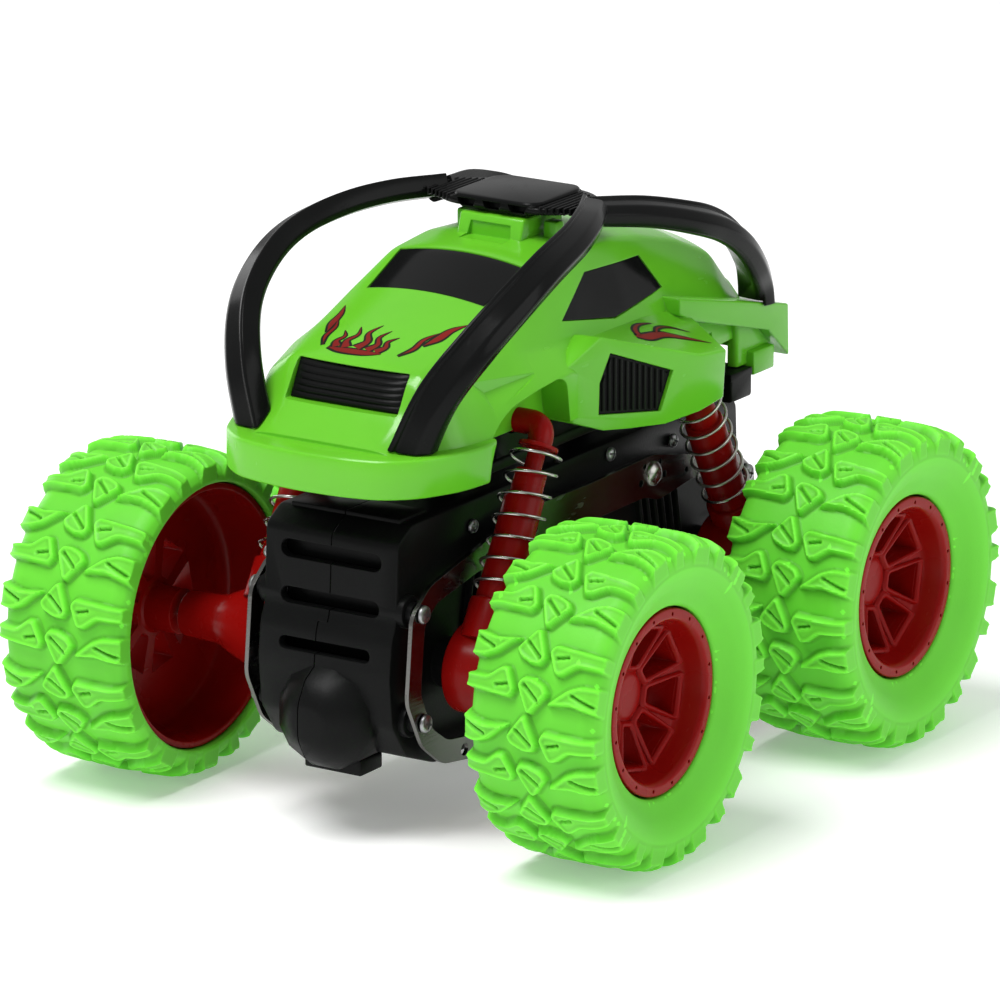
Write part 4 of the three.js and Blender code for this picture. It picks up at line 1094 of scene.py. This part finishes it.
def place_flames():
    flame("hood_flame", [
        [(46.5, -7.6, 0.2), (47.0, -5, 1.2), (47.1, -2, 1.5), (47.0, 1, 1.2), (46.5, 3.6, 0.2)],
        [(46.2, -6.0, 1.7), (44.6, -7.0, 1.0), (43.0, -6.3, 0.6), (41.2, -7.4, 0.0)],
        [(46.2, -4.1, 1.8), (44.2, -5.0, 1.0), (42.2, -4.0, 0.6), (39.8, -4.9, 0.0)],
        [(46.0, -1.9, 2.0), (43.8, -1.0, 1.2), (41.4, -2.2, 0.7), (38.6, -1.0, 0.0)],
        [(46.2, 0.4, 1.8), (44.2, 1.4, 1.0), (42.2, 0.5, 0.6), (39.8, 1.6, 0.0)],
        [(46.2, 2.2, 1.7), (44.6, 3.3, 1.0), (43.0, 2.8, 0.6), (41.2, 4.1, 0.0)]])
    flame("hood_flame_left", [
        [(46.0, 6.8, 0.0), (43.2, 8.3, 0.8), (40.2, 8.5, 0.7), (37.2, 10.0, 0.0)],
        [(41.8, 9.3, 0.1), (38.8, 10.6, 1.5), (35.8, 11.3, 1.1), (32.8, 13.1, 0.0)]])
    flame("hood_flame_right", [
        [(46.0, -9.0, 0.0), (43.2, -10.2, 0.8), (40.4, -10.1, 0.7), (37.6, -11.2, 0.0)],
        [(42.0, -10.8, 0.1), (39.0, -11.6, 1.4), (36.0, -11.9, 1.0), (33.0, -12.9, 0.0)]])
    pod_licks = [
        [(-8.9, 21.6, 0.6), (-11.4, 22.5, 1.9), (-15.5, 22.9, 1.6), (-19.5, 24.6, 1.0), (-25.4, 27.4, 0.0)],
        [(-10.0, 21.8, 1.2), (-10.9, 20.2, 1.0), (-13.4, 19.3, 0.5), (-17.2, 19.8, 0.0)],
        [(-14.8, 22.3, 0.6), (-17.0, 21.2, 0.5), (-20.4, 21.6, 0.3), (-24.0, 23.8, 0.0)]]
    roof_licks = [
        [(-15.5, 6.6, 1.0), (-19.0, 7.6, 1.0), (-24.0, 6.8, 0.6), (-30.0, 8.2, 0.0)],
        [(-16.5, 4.6, 0.8), (-20.0, 4.0, 0.7), (-26.0, 5.0, 0.0)]]
    for side, sign in SIDES:
        for word, licks in (("pod", pod_licks), ("roof", roof_licks)):
            flame(f"{word}_flame_{side}", [[(x, sign * y, width) for x, y, width in lick] for lick in licks])


place_flames()

# ---- finishes on the CAD nodes that are kept ----
slots = {p["node"]: p["material_slot"] for p in frame["record"]["subparts"]}
for cad_name, cad in frame["nodes"].items():
    if not cad.hide_render:
        cad.data.materials.clear()
        cad.data.materials.append(SLOTS[slots[cad_name]])

# ---- stage, light, camera ----


def place_stage():
    half, level = 4.0, -0.0002
    mesh = bpy.data.meshes.new("floor")
    corners = [(-half, -half, level), (half, -half, level), (half, half, level), (-half, half, level)]
    mesh.from_pydata(corners, [], [(0, 1, 2, 3)])
    floor = add_object("floor", mesh)
    pale = bpy.data.materials.new("floor")
    pale.use_nodes = True
    bsdf = pale.node_tree.nodes["Principled BSDF"]
    bsdf.inputs["Base Color"].default_value = (0.94, 0.94, 0.94, 1)
    bsdf.inputs["Roughness"].default_value = 0.75
    bsdf.inputs["Specular IOR Level"].default_value = 0.1
    bsdf.inputs["Emission Color"].default_value = (1, 1, 1, 1)
    bsdf.inputs["Emission Strength"].default_value = 0.22
    mesh.materials.append(pale)
    world = bpy.data.worlds.new("studio")
    world.use_nodes = True
    sky = world.node_tree.nodes["Background"].inputs
    sky["Color"].default_value = (1, 1, 1, 1)
    sky["Strength"].default_value = 0.46
    bpy.context.scene.world = world


AZ, EL = math.radians(32.86), math.radians(15.9)
BACK = Vector((math.cos(AZ) * math.cos(EL), math.sin(AZ) * math.cos(EL), math.sin(EL)))
RIGHT = Vector((-math.sin(AZ), math.cos(AZ), 0))
UP = BACK.cross(RIGHT)
TARGET = Vector((0, 0, 0.030))
LIGHT_AIM = Vector((0, 0, 0.050))
DISTANCE, SHIFT_RIGHT, SHIFT_UP = 1.4325, -0.00138, 0.016733


def area_light(name, right, up, back, size, power):
    lamp = bpy.data.lights.new(name, "AREA")
    lamp.shape = "RECTANGLE"
    lamp.size, lamp.size_y = size
    lamp.energy = power
    obj = add_object(name, lamp)
    obj.location = LIGHT_AIM + RIGHT * right + UP * up + BACK * back
    obj.rotation_mode = "QUATERNION"
    obj.rotation_quaternion = (obj.location - LIGHT_AIM).to_track_quat("Z", "Y")


def place_camera():
    data = bpy.data.cameras.new("camera")
    camera = add_object("camera", data)
    bpy.context.scene.camera = camera
    camera.location = TARGET + BACK * DISTANCE + RIGHT * SHIFT_RIGHT + UP * SHIFT_UP
    camera.rotation_mode = "QUATERNION"
    camera.rotation_quaternion = BACK.to_track_quat("Z", "Y")
    data.sensor_width = 36.0
    data.lens = 284.0
    data.clip_start, data.clip_end = 0.01, 20.0


place_stage()
area_light("key", -0.35, 0.85, 0.55, (0.45, 0.6), 10.5)
area_light("fill", 0.9, 0.25, 0.5, (0.8, 0.6), 2.4)
area_light("rim", -0.7, 0.35, -0.7, (0.5, 0.8), 3.2)
place_camera()
